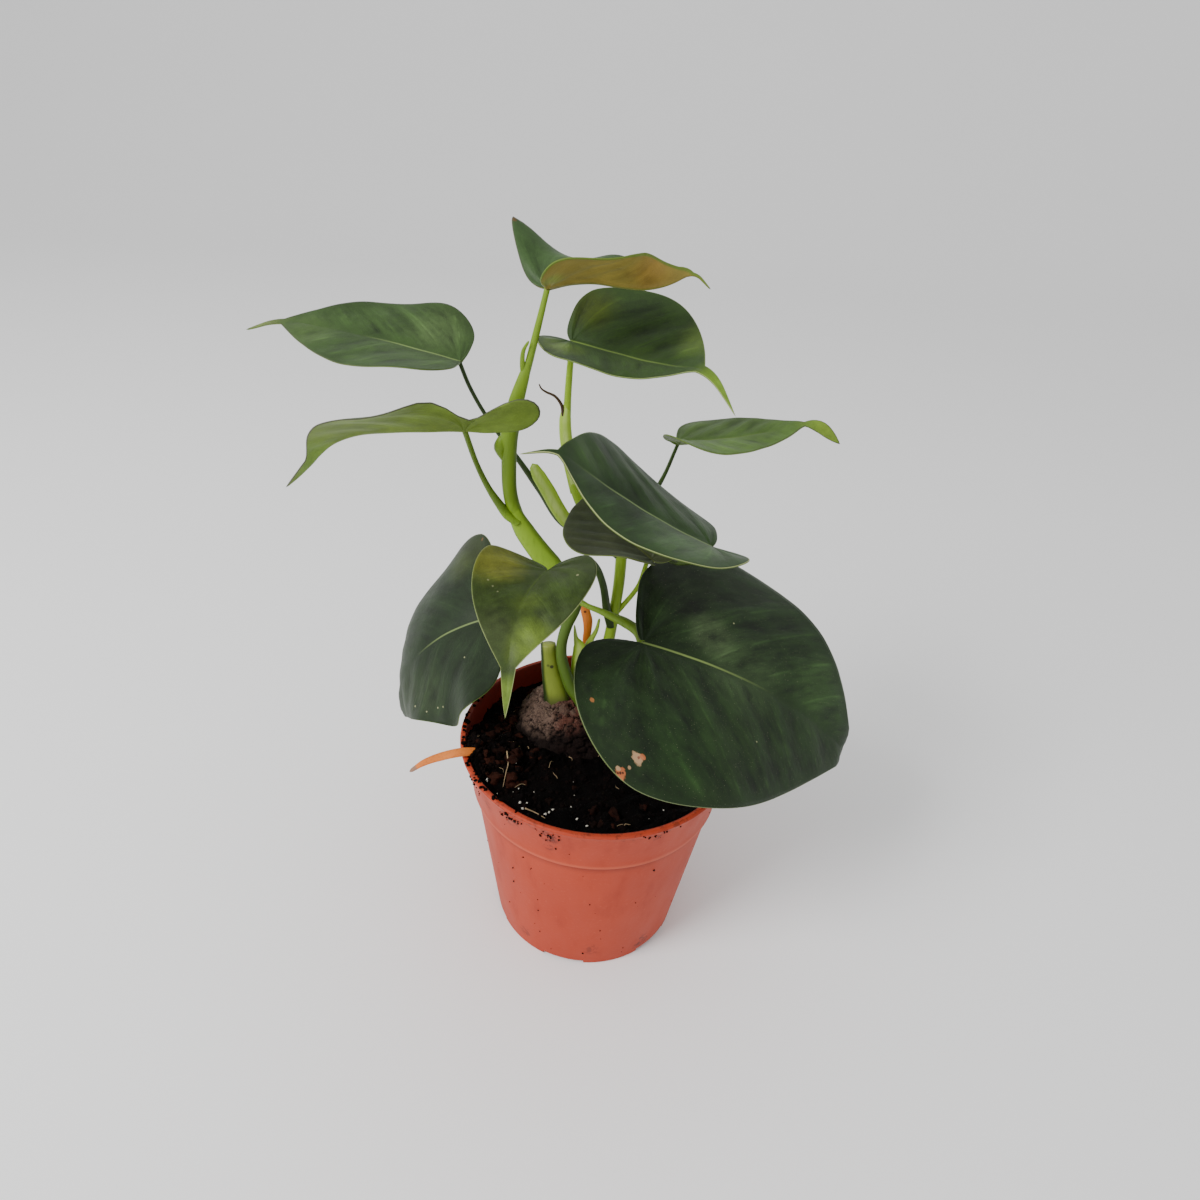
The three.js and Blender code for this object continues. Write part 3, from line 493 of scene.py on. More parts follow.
def make_soil():
    """The soil as one closed body: a rough disc on top, the pot's inner wall round it."""
    edge = inside_radius(SOIL.level) - SOIL.gap
    rows = []
    for share in np.linspace(0, 1, SOIL.rings + 1)[1:]:
        x, y, z = ground(*ring(edge * share, 0, SOIL.segments).T[:2])
        radius = share * (inside_radius(np.minimum(z, POT.height)) - SOIL.gap)
        rows.append(ring(radius, z, SOIL.segments))
    bottom = POT.floor + POT.floor_thickness + 0.3
    for z in (POT.ledge, bottom):
        rows.append(ring(inside_radius(z) - SOIL.gap, z, SOIL.segments))
    points, faces = closed_rows(rows, (0, 0, soil_height(0, 0)), (0, 0, bottom))
    material = soil_material("damp_soil", (1, 0, 0), (12, 6, 5), (42, 22, 16))
    add_piece("soil_bed", points, [face[::-1] for face in faces], [material], ["soil"])


def ball(level):
    """The points and faces of an icosphere of radius 1."""
    golden = (1 + math.sqrt(5)) / 2
    points = []
    for a in (-1, 1):
        for b in (-golden, golden):
            points += [Vector(p).normalized() for p in ((a, b, 0), (0, a, b), (b, 0, a))]
    faces = []
    for face in combinations(range(12), 3):
        a, b, c = (points[i] for i in face)
        if max((a - b).length, (b - c).length, (c - a).length) < 1.1:
            faces.append(face if a.cross(b).dot(c) > 0 else face[::-1])
    for _ in range(level):
        middles = {}
        finer = []
        for face in faces:
            between = []
            for key in zip(face, face[1:] + face[:1]):
                key = tuple(sorted(key))
                if key not in middles:
                    middles[key] = len(points)
                    points.append(((points[key[0]] + points[key[1]]) / 2).normalized())
                between.append(middles[key])
            a, b, c = face
            d, e, f = between
            finer += [(a, d, f), (b, e, d), (c, f, e), (d, e, f)]
        faces = finer
    return np.array([tuple(p) for p in points]), np.array(faces)


def add_lumps(name, places, sizes, seed, material, level=1, flat=(1, 1, 0.75), dents=(0.28, 0.12)):
    """Rough lumps in one piece, each turned and dented differently."""
    draw = np.random.default_rng(seed)
    unit, unit_faces = ball(level)
    points = []
    for place, size in zip(places, sizes):
        turn = np.array(Matrix.Rotation(draw.uniform(0, 6.28), 3, draw.normal(size=3)))
        shift = draw.uniform(-50, 50, 3)
        dent = 1 + dents[0] * rough(*(unit * 2.2 + shift).T, 1.0)
        dent += dents[1] * rough(*(unit * 6 + shift).T, 1)
        stretch = draw.uniform(0.65, 1.25, 3) * flat
        points.append((unit * dent[:, None] * stretch) @ turn.T * size + place)
    faces = [unit_faces + number * len(unit) for number in range(len(points))]
    add_piece(name, np.concatenate(points), np.concatenate(faces), [material])


def on_soil(draw, count, centre=None, spread=None):
    """Random places on the soil, in all or round a centre."""
    places = []
    limit = inside_radius(SOIL.level) - 1.5
    while len(places) < count:
        x, y = draw.uniform(-limit, limit, 2) if centre is None else draw.normal(centre, spread)
        from_plug = math.hypot(x - PLUG.centre[0], y - PLUG.centre[1])
        if math.hypot(x, y) <= limit and from_plug >= PLUG.shoulder[0]:
            places.append(ground(x, y))
    return places


CRUMB = soil_material("soil_crumb", (3, 1, 1), (22, 11, 8), (60, 34, 24))
CLOD = soil_material("soil_clod", (14, 6, 4), (62, 30, 20), (110, 66, 46))


def make_crumbs():
    """Fine crumbs all over the soil and over the rim at the left, and larger reddish clods."""
    draw = np.random.default_rng(11)
    places = on_soil(draw, 1100) + on_soil(draw, 240, (-46, -18), (9, 11))
    sizes = list(np.exp(draw.normal(-0.3, 0.45, len(places))))
    inner_edge = POT.rim_radius - POT.rim_width - 0.4
    for _ in range(110):
        turn = draw.normal(math.radians(200), math.radians(19))
        radius = draw.triangular(54.0, 58.0, 60.0)
        size = draw.uniform(0.3, 1.0)
        x, y = radius * math.cos(turn), radius * math.sin(turn)
        on_rim = (x, y, POT.height + 0.25 * size)
        places.append(ground(x, y, draw.uniform(0, 0.8)) if radius < inner_edge else on_rim)
        sizes.append(size)
    add_lumps("soil_crumbs", places, np.clip(sizes, 0.3, 2.2), 12, CRUMB)
    places = on_soil(draw, 36) + on_soil(draw, 34, (-46, 2), (7, 16))
    places += on_soil(draw, 26, (-36, -22), (12, 9))
    sizes = np.clip(np.exp(draw.normal(0.55, 0.35, len(places))), 0.9, 3.0)
    add_lumps("soil_clods", places, sizes, 13, CLOD, level=2, flat=(1, 1, 0.7), dents=(0.5, 0.25))


# White grains that stand out at the front: x, y and size
PERLITE = [
    (-43.5, -33.1, 0.7), (-38.8, -36.5, 0.4), (-28.7, -42.5, 0.5), (-27.2, -45.2, 0.7),
    (-25.9, -42.9, 0.45), (-18.1, -47.7, 0.75), (-16.6, -46.5, 0.5), (-15.3, -44.7, 0.45),
    (-5.5, -47.7, 0.55), (-1.3, -51.4, 0.5), (28.9, -37.7, 0.45), (-33.5, -21.0, 0.4),
]


def make_perlite():
    draw = np.random.default_rng(21)
    places = [ground(x, y, 0.5) for x, y, _ in PERLITE]
    places += [(x, y, z + 0.4) for x, y, z in on_soil(draw, 34)]
    sizes = [size for _, _, size in PERLITE] + list(draw.uniform(0.15, 0.34, 34))
    material = plain_material("perlite_white", (214, 210, 198), (168, 160, 146))
    add_lumps("perlite_grains", places, sizes, 22, material, flat=(1, 1, 0.8), dents=(0.35, 0.15))


def make_dirt():
    """Crumbs of soil stuck to the pot's side: a few alone, most in clusters by the rim."""
    draw = np.random.default_rng(41)
    singles = [(257, 87.5), (232, 56.5), (244, 65), (231, 46), (246, 35), (246, 18), (280, 28.5), (272, 9)]
    singles += [(273, 49.5), (302, 68), (293, 97.5), (300, 98.5), (240, 70), (215, 90)]
    specks = [(turn, z, draw.uniform(0.25, 0.5)) for turn, z in singles]
    for turn, z, count in ((237, 95.5, 22), (255, 95.5, 16), (213, 97, 14), (295, 98.5, 10)):
        for _ in range(count):
            size = draw.uniform(0.18, 0.62)
            specks.append((draw.normal(turn, 3.2), min(99.6, draw.normal(z, 1.7)), size))
    for _ in range(60):
        specks.append((draw.uniform(0, 360), draw.uniform(4, 98), draw.uniform(0.12, 0.28)))
    profile = pot_profile()
    radii, heights = zip(*profile[6:profile.index(max(profile))])
    places = []
    for turn, z, size in specks:
        turn = math.radians(turn)
        radius = np.interp(z, heights, radii) + 0.3 * size
        places.append((radius * math.cos(turn), radius * math.sin(turn), z))
    add_lumps("dirt_specks", places, [size for _, _, size in specks], 42, CRUMB)


make_pot()
make_soil()
make_crumbs()
make_perlite()
make_dirt()


# Tubes

def smooth_path(path, count):
    """Points along a smooth centripetal curve through the path."""
    path = [np.array(point, dtype=float) for point in path]
    extended = [2 * path[0] - path[1], *path, 2 * path[-1] - path[-2]]
    result = []
    for place in np.linspace(0, len(path) - 1, count):
        index = min(int(place), len(path) - 2)
        w = place - index
        p0, p1, p2, p3 = extended[index:index + 4]
        d0, d1, d2 = (np.linalg.norm(b - a) ** 0.5 for a, b in ((p0, p1), (p1, p2), (p2, p3)))
        m1 = ((p1 - p0) / d0 - (p2 - p0) / (d0 + d1) + (p2 - p1) / d1) * d1
        m2 = ((p2 - p1) / d1 - (p3 - p1) / (d1 + d2) + (p3 - p2) / d2) * d1
        cubic = 2 * p1 - 2 * p2 + m1 + m2
        square = -3 * p1 + 3 * p2 - 2 * m1 - m2
        result.append(p1 + m1 * w + square * w**2 + cubic * w**3)
    return np.array(result)


def tube(path, radii, flat=1.0, across=(1, 0, 0), sides=20, spacing=0.9, rounded=True):
    """A closed tube along a smooth path: its points, faces and, for each point, the cosine and
    sine of its place round the tube and its distance from the start in mm."""
    count = max(8, int(np.linalg.norm(np.diff(path, axis=0), axis=1).sum() / spacing))
    centres = smooth_path(path, count)
    tangents = np.gradient(centres, axis=0)
    tangents /= np.linalg.norm(tangents, axis=1)[:, None]
    run = np.concatenate([[0], np.cumsum(np.linalg.norm(np.diff(centres, axis=0), axis=1))])
    sizes = np.interp(np.linspace(0, len(radii) - 1, count), range(len(radii)), radii)
    end = centres[-1]
    if rounded:
        end = end + 0.4 * sizes[-1] * tangents[-1]
        sizes[-1] *= 0.55
    cos, sin, _ = ring(1, 0, sides).T
    wide = np.array(across, dtype=float)
    rows = []
    facts = [(0, 0, 0)]
    for centre, tangent, size, distance in zip(centres, tangents, sizes, run):
        wide = wide - wide.dot(tangent) * tangent
        wide /= np.linalg.norm(wide)
        thin = np.cross(tangent, wide) * flat
        rows.append(centre + size * (np.outer(cos, wide) + np.outer(sin, thin)))
        facts += [(c, s, distance) for c, s in zip(cos, sin)]
    facts.append((0, 0, run[-1]))
    return *closed_rows(rows, centres[0], end), facts


def add_tubes(name, surface, tubes, replaces=()):
    """Several tubes in one piece."""
    faces = []
    count = 0
    for points, tube_faces, _ in tubes:
        faces += [tuple(index + count for index in face) for face in tube_faces]
        count += len(points)
    points, _, facts = zip(*tubes)
    material, slot = surface
    piece = add_piece(name, np.concatenate(points), faces, [material], replaces)
    vertex_values(piece, "growth", np.concatenate(facts))


# Peat plug

def plug_material():
    s = Surface("peat_plug_rough", 0.85, 0.15)
    _, depth, _, _ = s.stored("growth")
    broad = s.noise(8, 5, roughness=0.6)
    crease = s.noise(2.6, 6, (1, 1, 0.6), 0.65)
    grain = s.noise(0.6, 4)
    across, _, up = s.parts(s.place)
    s.colour = s.mix(broad, (62, 45, 37), (132, 108, 94))
    s.paint(s.step(across, -23, -15, MM) * s.step(broad, 0.3, 0.5) * 0.8, (88, 44, 34))
    # Painted shade deep in the plug's grooves.
    s.paint(0.9 * s.step(depth, 0.15, 0.75), (10, 5, 4))
    s.paint(0.75 * s.step(s.math("ABSOLUTE", crease - 0.5), 0.035, 0.0), (20, 11, 9))
    s.paint(0.4 * s.step(grain, 0.58, 0.72), (166, 144, 130))
    # Painted shade over the plug's lower part, reaching higher towards its right side, with a ragged edge.
    shade = up - 0.3 * across + 5 * MM * (broad - 0.5)
    s.paint(0.95 * s.step(shade, 110.5, 105, MM), (12, 4, 3))
    return s.finish(relief=crease + 0.5 * grain, depth=1.5)


def make_plug():
    """The plug, swollen and grooved where it stands out of the soil."""
    p = PLUG
    middle = (p.wide + p.shoulder[1]) / 2
    corners = [(p.radius, p.wide - 6), (p.radius, p.wide), (p.radius - 2, middle - 1)]
    corners += [(p.shoulder[0] + 4, middle + 2.5), p.shoulder, p.crown, (5, p.top)]
    profile = [(0, p.bottom), (p.radius - 3, p.bottom), (p.radius, p.bottom + 8)]
    profile += [(r, z) for r, _, z in smooth_path([(r, 0, z) for r, z in corners], 90)]
    profile += [(5 * share, p.top + 0.1) for share in (0.66, 0.33, 0)]
    points, faces = turned(profile, p.segments)
    x, y, z = points.T
    upper = np.clip((z - 84) / 10, 0, 1)
    field = np.abs(fractal(x, y, 0.8 * z, 3.6, 5))
    grooves = np.clip(1 - field / 0.22, 0, 1)
    grown = 1 + (1.2 * rough(x, y, z, 5) + upper * (1.1 * field - 1.7 * grooves)) / p.radius
    lift = upper * np.clip(1.3 - np.hypot(x, y) / 24, 0, 1) * (field - 1.5 * grooves + 0.3)
    points = np.stack([x * grown + p.centre[0], y * grown + p.centre[1], z + lift], axis=1)
    piece = add_piece("peat_plug", points, faces, [plug_material()], ["root_plug"])
    vertex_values(piece, "growth", np.stack([grooves, 0 * x, 0 * x], axis=1))


make_plug()


# Leaves

def leaf_axes(shape):
    """The leaf's own directions: along the midrib at the joint, to the left, and out of the face."""
    heading, pitch, roll = np.radians(shape.turns)
    return np.array(Euler((roll, -pitch, heading)).to_matrix()).T


def midrib_angles(shape, distance):
    """The midrib's rise and sideways turn, in radians, at a distance from the joint."""
    share = distance / shape.length
    on_blade = np.clip(share, 0, 1)
    drip_start = 0.93 * shape.length
    drip_reach = 0.6 * (shape.drip + shape.length - drip_start)
    fall = (
        shape.arch[0] * on_blade ** shape.arch[1]
        + shape.sway * (1 - np.cos(FULL_TURN * on_blade))
        + shape.drip_bend * np.clip((distance - drip_start) / drip_reach, 0, 1)
        - shape.lobe_drop * np.clip(-share / 0.3, 0, 1.3)
    )
    return -np.radians(fall), -np.radians(shape.sideways * np.clip(share, 0, 1.3))


def midrib_places(shape, distance):
    """The midrib's course in the leaf's own directions."""
    step = 0.25
    count = math.ceil((shape.length * 1.2 + shape.drip) / step)
    distances = np.arange(-count, count + 1) * step
    rise, turn = midrib_angles(shape, distances[:-1] + step / 2)
    moves = np.stack([np.cos(rise) * np.cos(turn), np.cos(rise) * np.sin(turn), np.sin(rise)])
    track = np.insert(np.cumsum(step * moves, axis=1), 0, 0, axis=1)
    return [np.interp(distance, distances, row - row[count]) for row in track]


def blade_points(shape, side, along, across):
    """Points of the bent blade from their flat places along and across one half."""
    part = shape.halves[0 if side > 0 else 1]
    share = np.clip(along / shape.length, -0.4, 1)
    fold = np.radians(part.fold[0] + (part.fold[1] - part.fold[0]) * share)
    bend = math.radians(part.cup) / part.width
    height, phase = part.wave
    ripple = height * np.sin(FULL_TURN * (shape.waves * along / shape.length + phase / 360))
    outward = side * (np.sin(fold + bend * across) - np.sin(fold)) / bend
    raised = (np.cos(fold) - np.cos(fold + bend * across)) / bend + ripple * (across / part.width) ** 2
    twist = math.radians(shape.twist) * np.clip((along - shape.length) / (0.5 * shape.drip), 0, 1)
    aside = outward * np.cos(twist) - raised * np.sin(twist)
    lift = raised * np.cos(twist) + outward * np.sin(twist)
    rise, turn = midrib_angles(shape, along)
    u, v, n = midrib_places(shape, along)
    u = u - lift * np.sin(rise) * np.cos(turn) - aside * np.sin(turn)
    v = v - lift * np.sin(rise) * np.sin(turn) + aside * np.cos(turn)
    n = n + lift * np.cos(rise)
    return np.array(shape.joint) + np.stack([u, v, n], axis=-1) @ leaf_axes(shape)


def half_outline(shape, part):
    """The flat outline of one half, from the joint round the lobe to the end of the drip tip."""
    width, lobe, station, length, drip = part.width, part.lobe, part.station, shape.length, shape.drip
    neck, near, far = shape.neck
    beyond = length - station
    back = (-lobe, 0.45 * width)
    shoulder = (station - 0.5 * (station + lobe), width)
    widest = (station, width)
    tip = (length, neck)
    curves = [
        [(0, 0), (-0.55 * lobe, 0.03 * width), (-lobe, 0.12 * width), back],
        [back, (-lobe, 0.8 * width), shoulder, widest],
        [widest, (station + 0.45 * beyond, width), (length - 0.3 * beyond, neck + part.full * width), tip],
        [tip, (length + 0.3 * drip, near), (length + 0.7 * drip, far), (length + drip, 0)],
    ]
    outline = [(0.0, 0.0)]
    for corners, count in zip(curves, BLADE.curves):
        a, b, c, d = np.array(corners, dtype=float)
        for t in np.linspace(0, 1, count + 1)[1:]:
            outline.append((1 - t)**3 * a + 3 * t * (1 - t)**2 * b + 3 * t * t * (1 - t) * c + t**3 * d)
    outline = np.array(outline)
    if part is shape.halves[0]:
        depth, at, spread = shape.waist
        outline[:, 1] *= 1 - depth * np.exp(-(((outline[:, 0] - at) / spread) ** 2))
    return outline


def mend(normal):
    """Unit normals, taken from their neighbours where a row shrinks to a point."""
    size = np.linalg.norm(normal, axis=2)
    for row in range(normal.shape[0]):
        bad = size[row] < 0.5
        if bad.any() and not bad.all():
            normal[row, bad] = normal[row, ~bad].mean(axis=0)
    return normal / np.maximum(np.linalg.norm(normal, axis=2)[..., None], 1e-9)


def half_sheet(shape, side, outline, roots, share):
    """One half of the blade in rows from the midrib to the margin: its places, its normals, the
    flat places along and across, the distance from the margin, a number that grows by one from
    each side vein to the next, and the height of the swelling between the veins."""
    along = roots[:, None] + (outline[:, 0] - roots)[:, None] * share
    across = outline[:, 1][:, None] * share
    reach = np.hypot(outline[:, 0] - roots, outline[:, 1])[:, None]
    fan = 1 - np.arctan2(outline[:, 1], outline[:, 0] - roots) / math.pi
    phase = BLADE.veins * (0.62 * fan + 0.75 * roots / outline[-1][0])[:, None]
    phase = phase - 0.75 * share**2 * reach / shape.length
    surface = blade_points(shape, side, along, across)
    normal = np.cross(np.gradient(surface, axis=0), np.gradient(surface, axis=1)) * side
    size = np.linalg.norm(normal, axis=2)[..., None]
    normal = np.where(size > 1e-9, normal / np.maximum(size, 1e-9), 0)
    fade = np.clip(reach / 12, 0, 1) * np.sin(math.pi * np.clip(share, 0.02, 0.98)) ** 0.6
    swell = -np.cos(FULL_TURN * phase) + 0.7 * fractal(*surface.transpose(2, 0, 1), 6, 2)
    puff = BLADE.relief * fade * swell
    layers = [surface, normal, along, across * side, reach * (1 - share), phase, puff]
    return [layer[:, ::-1] if side > 0 else layer[:, 1:] for layer in layers]


def add_leaf(name, upper_look, under_look):
    """A leaf blade with veins, a raised midrib underneath and a thin margin. Both halves are
    columns of one sheet: from the left margin over the midrib to the right margin."""
    shape = LEAVES[name]
    rings = BLADE.rings
    outlines = [half_outline(shape, part) for part in shape.halves]
    means = (outlines[0] + outlines[1]) / 2
    roots = np.maximum.accumulate(np.maximum(means[:, 0] - 0.8 * means[:, 1], 0))
    share = (np.arange(rings + 1) / rings) ** 0.85
    sheets = [half_sheet(shape, side, outline, roots, share) for side, outline in zip((1, -1), outlines)]
    both = [np.concatenate(pair, axis=1) for pair in zip(*sheets)]
    centre, normal, along, across, edge, phase, puff = both
    normal[:, rings] = (normal[:, rings - 1] + normal[:, rings + 1]) / 2
    normal = mend(normal)
    thick = BLADE.margin + (BLADE.middle - BLADE.margin) * np.clip(edge / 1.6, 0, 1) ** 0.5
    taper = np.clip(1 - along / (shape.length + shape.drip), 0, 1)
    ridge = BLADE.rib * 1.5 * taper**0.7 * np.exp(-((across / (0.9 + 0.5 * taper)) ** 2))
    groove = 0.25 * taper * np.exp(-((across / 1.1) ** 2))
    upper = centre + normal * (puff - groove + thick / 2)[..., None]
    lower = centre + normal * (puff - ridge - thick / 2)[..., None]
    points = np.concatenate([upper.reshape(-1, 3), lower.reshape(-1, 3)])
    rows, columns = along.shape
    below = rows * columns
    faces = []
    for a, b, c, d in grid_faces(rows, columns):
        faces += [(a, b, c, d), (below + d, below + c, below + b, below + a)]
    index = np.arange(below).reshape(rows, columns)
    border = [*index[:, 0], *index[-1, 1:], *index[-2::-1, -1], *index[0, -2:0:-1]]
    for a, b in zip(border, border[1:] + border[:1]):
        faces.append((b, a, below + a, below + b))
    materials = [
        leaf_material(name + "_upper", upper_look, 0.1), leaf_material(name + "_under", under_look, 0.15),
    ]
    piece = add_piece(name + "_blade", points, faces, materials, [name])
    flat = np.stack([along, across, edge], axis=-1)
    vertex_values(piece, "flat", [flat, flat])
    veining = [np.stack([phase, np.abs(across), 0 * phase + under], axis=-1) for under in (0, 1)]
    vertex_values(piece, "veining", veining)
    finish_leaf(piece)


def finish_leaf(piece):
    """Merge the points that meet at the joint and the tip, and give the underside its material."""
    shape = bmesh.new()
    shape.from_mesh(piece.data)
    layer = shape.verts.layers.float_vector["veining"]
    bmesh.ops.remove_doubles(shape, verts=shape.verts, dist=0.002 * MM)
    bmesh.ops.dissolve_degenerate(shape, edges=shape.edges, dist=0.001 * MM)
    bmesh.ops.recalc_face_normals(shape, faces=shape.faces)
    for face in shape.faces:
        under = sum(vertex[layer].z for vertex in face.verts) / len(face.verts)
        face.material_index = 1 if under > 0.4 else 0
        face.smooth = True
    shape.to_mesh(piece.data)
    shape.free()


PALE = ((168, 176, 118), 0.75, 0.36)
THIN_PALE = ((150, 166, 118), 0.6, 0.26)
GREEN_EDGE = ((104, 124, 56), 0.55, 0.4)
PURPLE = ((62, 58, 52), 0.85, 0.45)
TAN = (186, 150, 112)
RUST = (186, 104, 62)
SCORCH = (50, 20, 14)
SPECK = (160, 160, 120)
PLAIN_LOOK = {"margins": (GREEN_EDGE, GREEN_EDGE), "vein": 0.2, "mottle": 0.7, "specks": 0.15}


def face(tone, *rib, **more):
    """The look of one face of a leaf: tone, the blade's colour; rib, the midrib's colour, its
    strength and the distances from the joint where it starts and ends to fade; margins, colour,
    strength and width on the left and the right; vein, the strength of the streaks along the
    side veins; mottle, the strength of the fine blotches; specks, the strength of pale dust; and
    patches, broad areas, and spots, small marks, each with its flat place along and across, its
    radius, colour and strength."""
    return Values(**{**PLAIN_LOOK, "patches": (), "spots": (), **more}, tone=tone, rib=rib)


def leaf_material(name, look, velvet):
    s = Surface(name, 0.52, 0.22, velvet)
    s.shader["Sheen Roughness"].default_value = 0.4
    s.shader["Sheen Tint"].default_value = shader_colour((190, 205, 180))
    flat, along, across, edge = s.stored("flat")
    _, phase, off_rib, _ = s.stored("veining")
    place = s.vector("MULTIPLY", flat, (MM, MM, 0))
    broad = s.noise(14, 3, place=place)
    mottle = s.noise(3.0, 5, roughness=0.6, place=place)
    cells = s.noise(0.5, 2, place=place)
    dust = s.noise(0.42, 1, place=place)
    run = s.term("CombineXYZ", {0: 4 * MM * phase, 1: 0.11 * MM * off_rib, 2: 0.02 * MM * across})
    streaks = s.noise(1, 3, roughness=0.6, place=run)

    def off(at_along, at_across):
        return s.flat_length(s.vector("SUBTRACT", flat, (at_along, at_across, 0)))

    s.colour = look.tone
    for at_along, at_across, radius, tone, strength in look.patches:
        away = off(at_along, at_across) + radius * (broad - 0.5)
        s.paint(strength * s.step(away, 1.35 * radius, 0.3 * radius), tone)
    inner = s.step(off_rib, 0, 6) * s.step(edge, 0, 7)
    waves = s.math("COSINE", FULL_TURN * phase)
    near = s.math("ABSOLUTE", s.math("FRACT", phase) - 0.5)
    lit = s.step(near, 0.06, 0.0) * s.step(streaks, 0.4, 0.6)
    veined = 5 * look.vein * (streaks - 0.48) + -0.4 * look.vein * waves + 1.6 * look.vein * lit
    level = 1.0 + veined * inner + 1.1 * (broad - 0.5)
    s.shade(level + look.mottle * (mottle - 0.5) + 0.5 * (cells - 0.5))
    tone, strength, rib_near, rib_far = look.rib
    s.paint(s.step(off_rib, 0.66, 0.2) * s.step(along, rib_far, rib_near) * strength, tone)
    s.paint(look.specks * s.step(dust, 0.71, 0.76), (150, 150, 120))
    for at_along, at_across, radius, tone, strength in look.spots:
        away = off(at_along, at_across) + 1.8 * radius * (mottle - 0.5)
        s.paint(strength * s.step(away, 1.1 * radius, 0.8 * radius), tone)
    ragged = edge + 0.25 * cells
    for (tone, strength, width), side in zip(look.margins, (0.1, -0.1)):
        rim = s.step(ragged, width + 0.12, 0.45 * width) * s.step(across, -side, side)
        s.paint(strength * rim, tone)
    relief = 0.5 * mottle + 0.3 * cells + 1.4 * (streaks * inner)
    return s.finish(0.16 * mottle + 0.44, relief, 0.2)


UNSEEN = face((84, 108, 36), (120, 140, 66), 0.6, 30, 60)
add_leaf("leaf_1", face(
    (56, 78, 42), (96, 116, 60), 0.5, 20, 45, margins=(PURPLE, PURPLE),
    patches=[(-3, 13, 6, (58, 84, 42), 0.6)],
    spots=[(-4.9, 21.3, 0.7, (90, 70, 40), 0.9)],
), face(
    (128, 114, 50), (116, 128, 54), 0.7, 30, 48,
    margins=(GREEN_EDGE, ((92, 116, 40), 0.9, 1.3)), vein=0.12, mottle=0.4,
    patches=[(2, -8, 5, (112, 130, 52), 0.7), (36, -8, 9, (140, 108, 44), 0.6)],
))
add_leaf("leaf_2", face(
    (40, 62, 18), (112, 136, 60), 0.75, 25, 60, margins=(GREEN_EDGE, PALE), vein=0.3,
    patches=[
        (2, 15, 9, (54, 66, 4), 0.85), (46, 14, 9, (72, 92, 34), 0.85),
        (3, -13, 9, (84, 108, 28), 0.8), (70, 0, 12, (100, 128, 36), 0.9),
        (30, -3, 8, (56, 80, 30), 0.6),
    ],
), UNSEEN)
add_leaf("leaf_3", face(
    (50, 72, 32), (128, 150, 86), 0.75, 18, 40, margins=(PURPLE, PURPLE), vein=0.34,
    patches=[
        (12, -12, 12, (72, 92, 52), 0.7), (58, 6, 12, (66, 88, 42), 0.8),
        (82, 0, 13, (96, 112, 48), 0.9),
    ],
), UNSEEN)
add_leaf("leaf_4", face(
    (46, 66, 28), (112, 134, 62), 0.6, 20, 50, margins=(PURPLE, PURPLE),
), face(
    (95, 116, 38), (128, 146, 62), 0.5, 30, 60, margins=(PURPLE, PURPLE), vein=0.16,
    patches=[(60, 2, 14, (104, 138, 44), 0.6)],
))
add_leaf("leaf_5", face(
    (48, 62, 24), (80, 100, 36), 0.3, 10, 30, margins=(PALE, ((150, 160, 90), 0.5, 0.3)), mottle=1.1,
    patches=[
        (8, -17, 12, (112, 114, 38), 0.9), (40, 6, 9, (92, 112, 34), 0.85),
        (38, -7, 9, (54, 64, 34), 0.8), (58, 0, 7, (100, 124, 40), 0.85),
        (16, 13, 8, (56, 74, 28), 0.7), (24, 2, 6, (70, 86, 26), 0.5),
    ],
    spots=[
        (19, -14.5, 0.35, SPECK, 0.4), (22, -9.5, 0.35, SPECK, 0.4), (20.5, -12, 0.4, SPECK, 0.4),
        (8.4, 15.7, 0.5, SPECK, 0.7),
    ],
), face((90, 112, 38), (120, 140, 66), 0.5, 30, 60))
add_leaf("leaf_6", face(
    (37, 58, 26), (124, 144, 92), 0.75, 30, 66,
    margins=(((176, 184, 124), 0.9, 0.6), GREEN_EDGE), vein=0.32,
    patches=[
        (38, 0, 15, (24, 42, 15), 0.7), (18, 17, 13, (58, 84, 44), 0.8),
        (56, -8, 9, (50, 76, 32), 0.7), (4, 10, 9, (56, 80, 40), 0.7),
    ],
), face((46, 60, 26), (84, 98, 46), 0.6, 30, 60))
add_leaf("leaf_7", face(
    (50, 56, 32), (84, 92, 44), 0.5, 10, 30, patches=[(27, 8, 9, (40, 48, 28), 0.6)],
), face((64, 58, 28), (90, 90, 44), 0.5, 10, 30))
add_leaf("leaf_8", face(
    (72, 98, 40), (110, 130, 60), 0.5, 15, 40, margins=(PURPLE, PURPLE), vein=0.3,
    patches=[(20, 4, 9, (72, 98, 40), 0.6), (56, 0, 11, (108, 132, 42), 0.9)],
), face((88, 112, 36), (120, 140, 66), 0.6, 30, 60))
add_leaf("leaf_9", face(
    (26, 43, 17), (134, 154, 84), 0.8, 16, 58, margins=(THIN_PALE, THIN_PALE), vein=0.5, specks=0.5,
    patches=[
        (12, 34, 20, (25, 36, 18), 0.8), (42, 2, 17, (46, 63, 35), 0.8),
        (18, -42, 20, (20, 41, 12), 0.65), (78, 14, 18, (42, 64, 30), 0.7),
        (-12, -30, 12, (36, 58, 26), 0.5), (26, 13, 10, (62, 78, 48), 0.7),
    ],
    spots=[
        (3.7, -50.9, 2.4, TAN, 0.9), (5.6, -49.5, 1.2, RUST, 0.8), (-2.2, -59, 2.3, RUST, 0.9),
        (-3.6, -57.6, 1.0, TAN, 0.9), (-18.1, -36.3, 1.0, (170, 110, 60), 0.9),
        (1.0, -55.5, 0.8, TAN, 0.7), (34, 22, 0.35, SPECK, 0.9), (52, -24, 0.3, SPECK, 0.9),
        (-3.4, -59.2, 0.5, SCORCH, 0.9), (-2.4, -58.8, 0.5, SCORCH, 0.9),
        (-1.4, -58.4, 0.4, SCORCH, 0.9), (4.2, -50.4, 0.6, (120, 60, 50), 0.8),
    ],
), face((60, 60, 30), (96, 100, 50), 0.5, 30, 60))
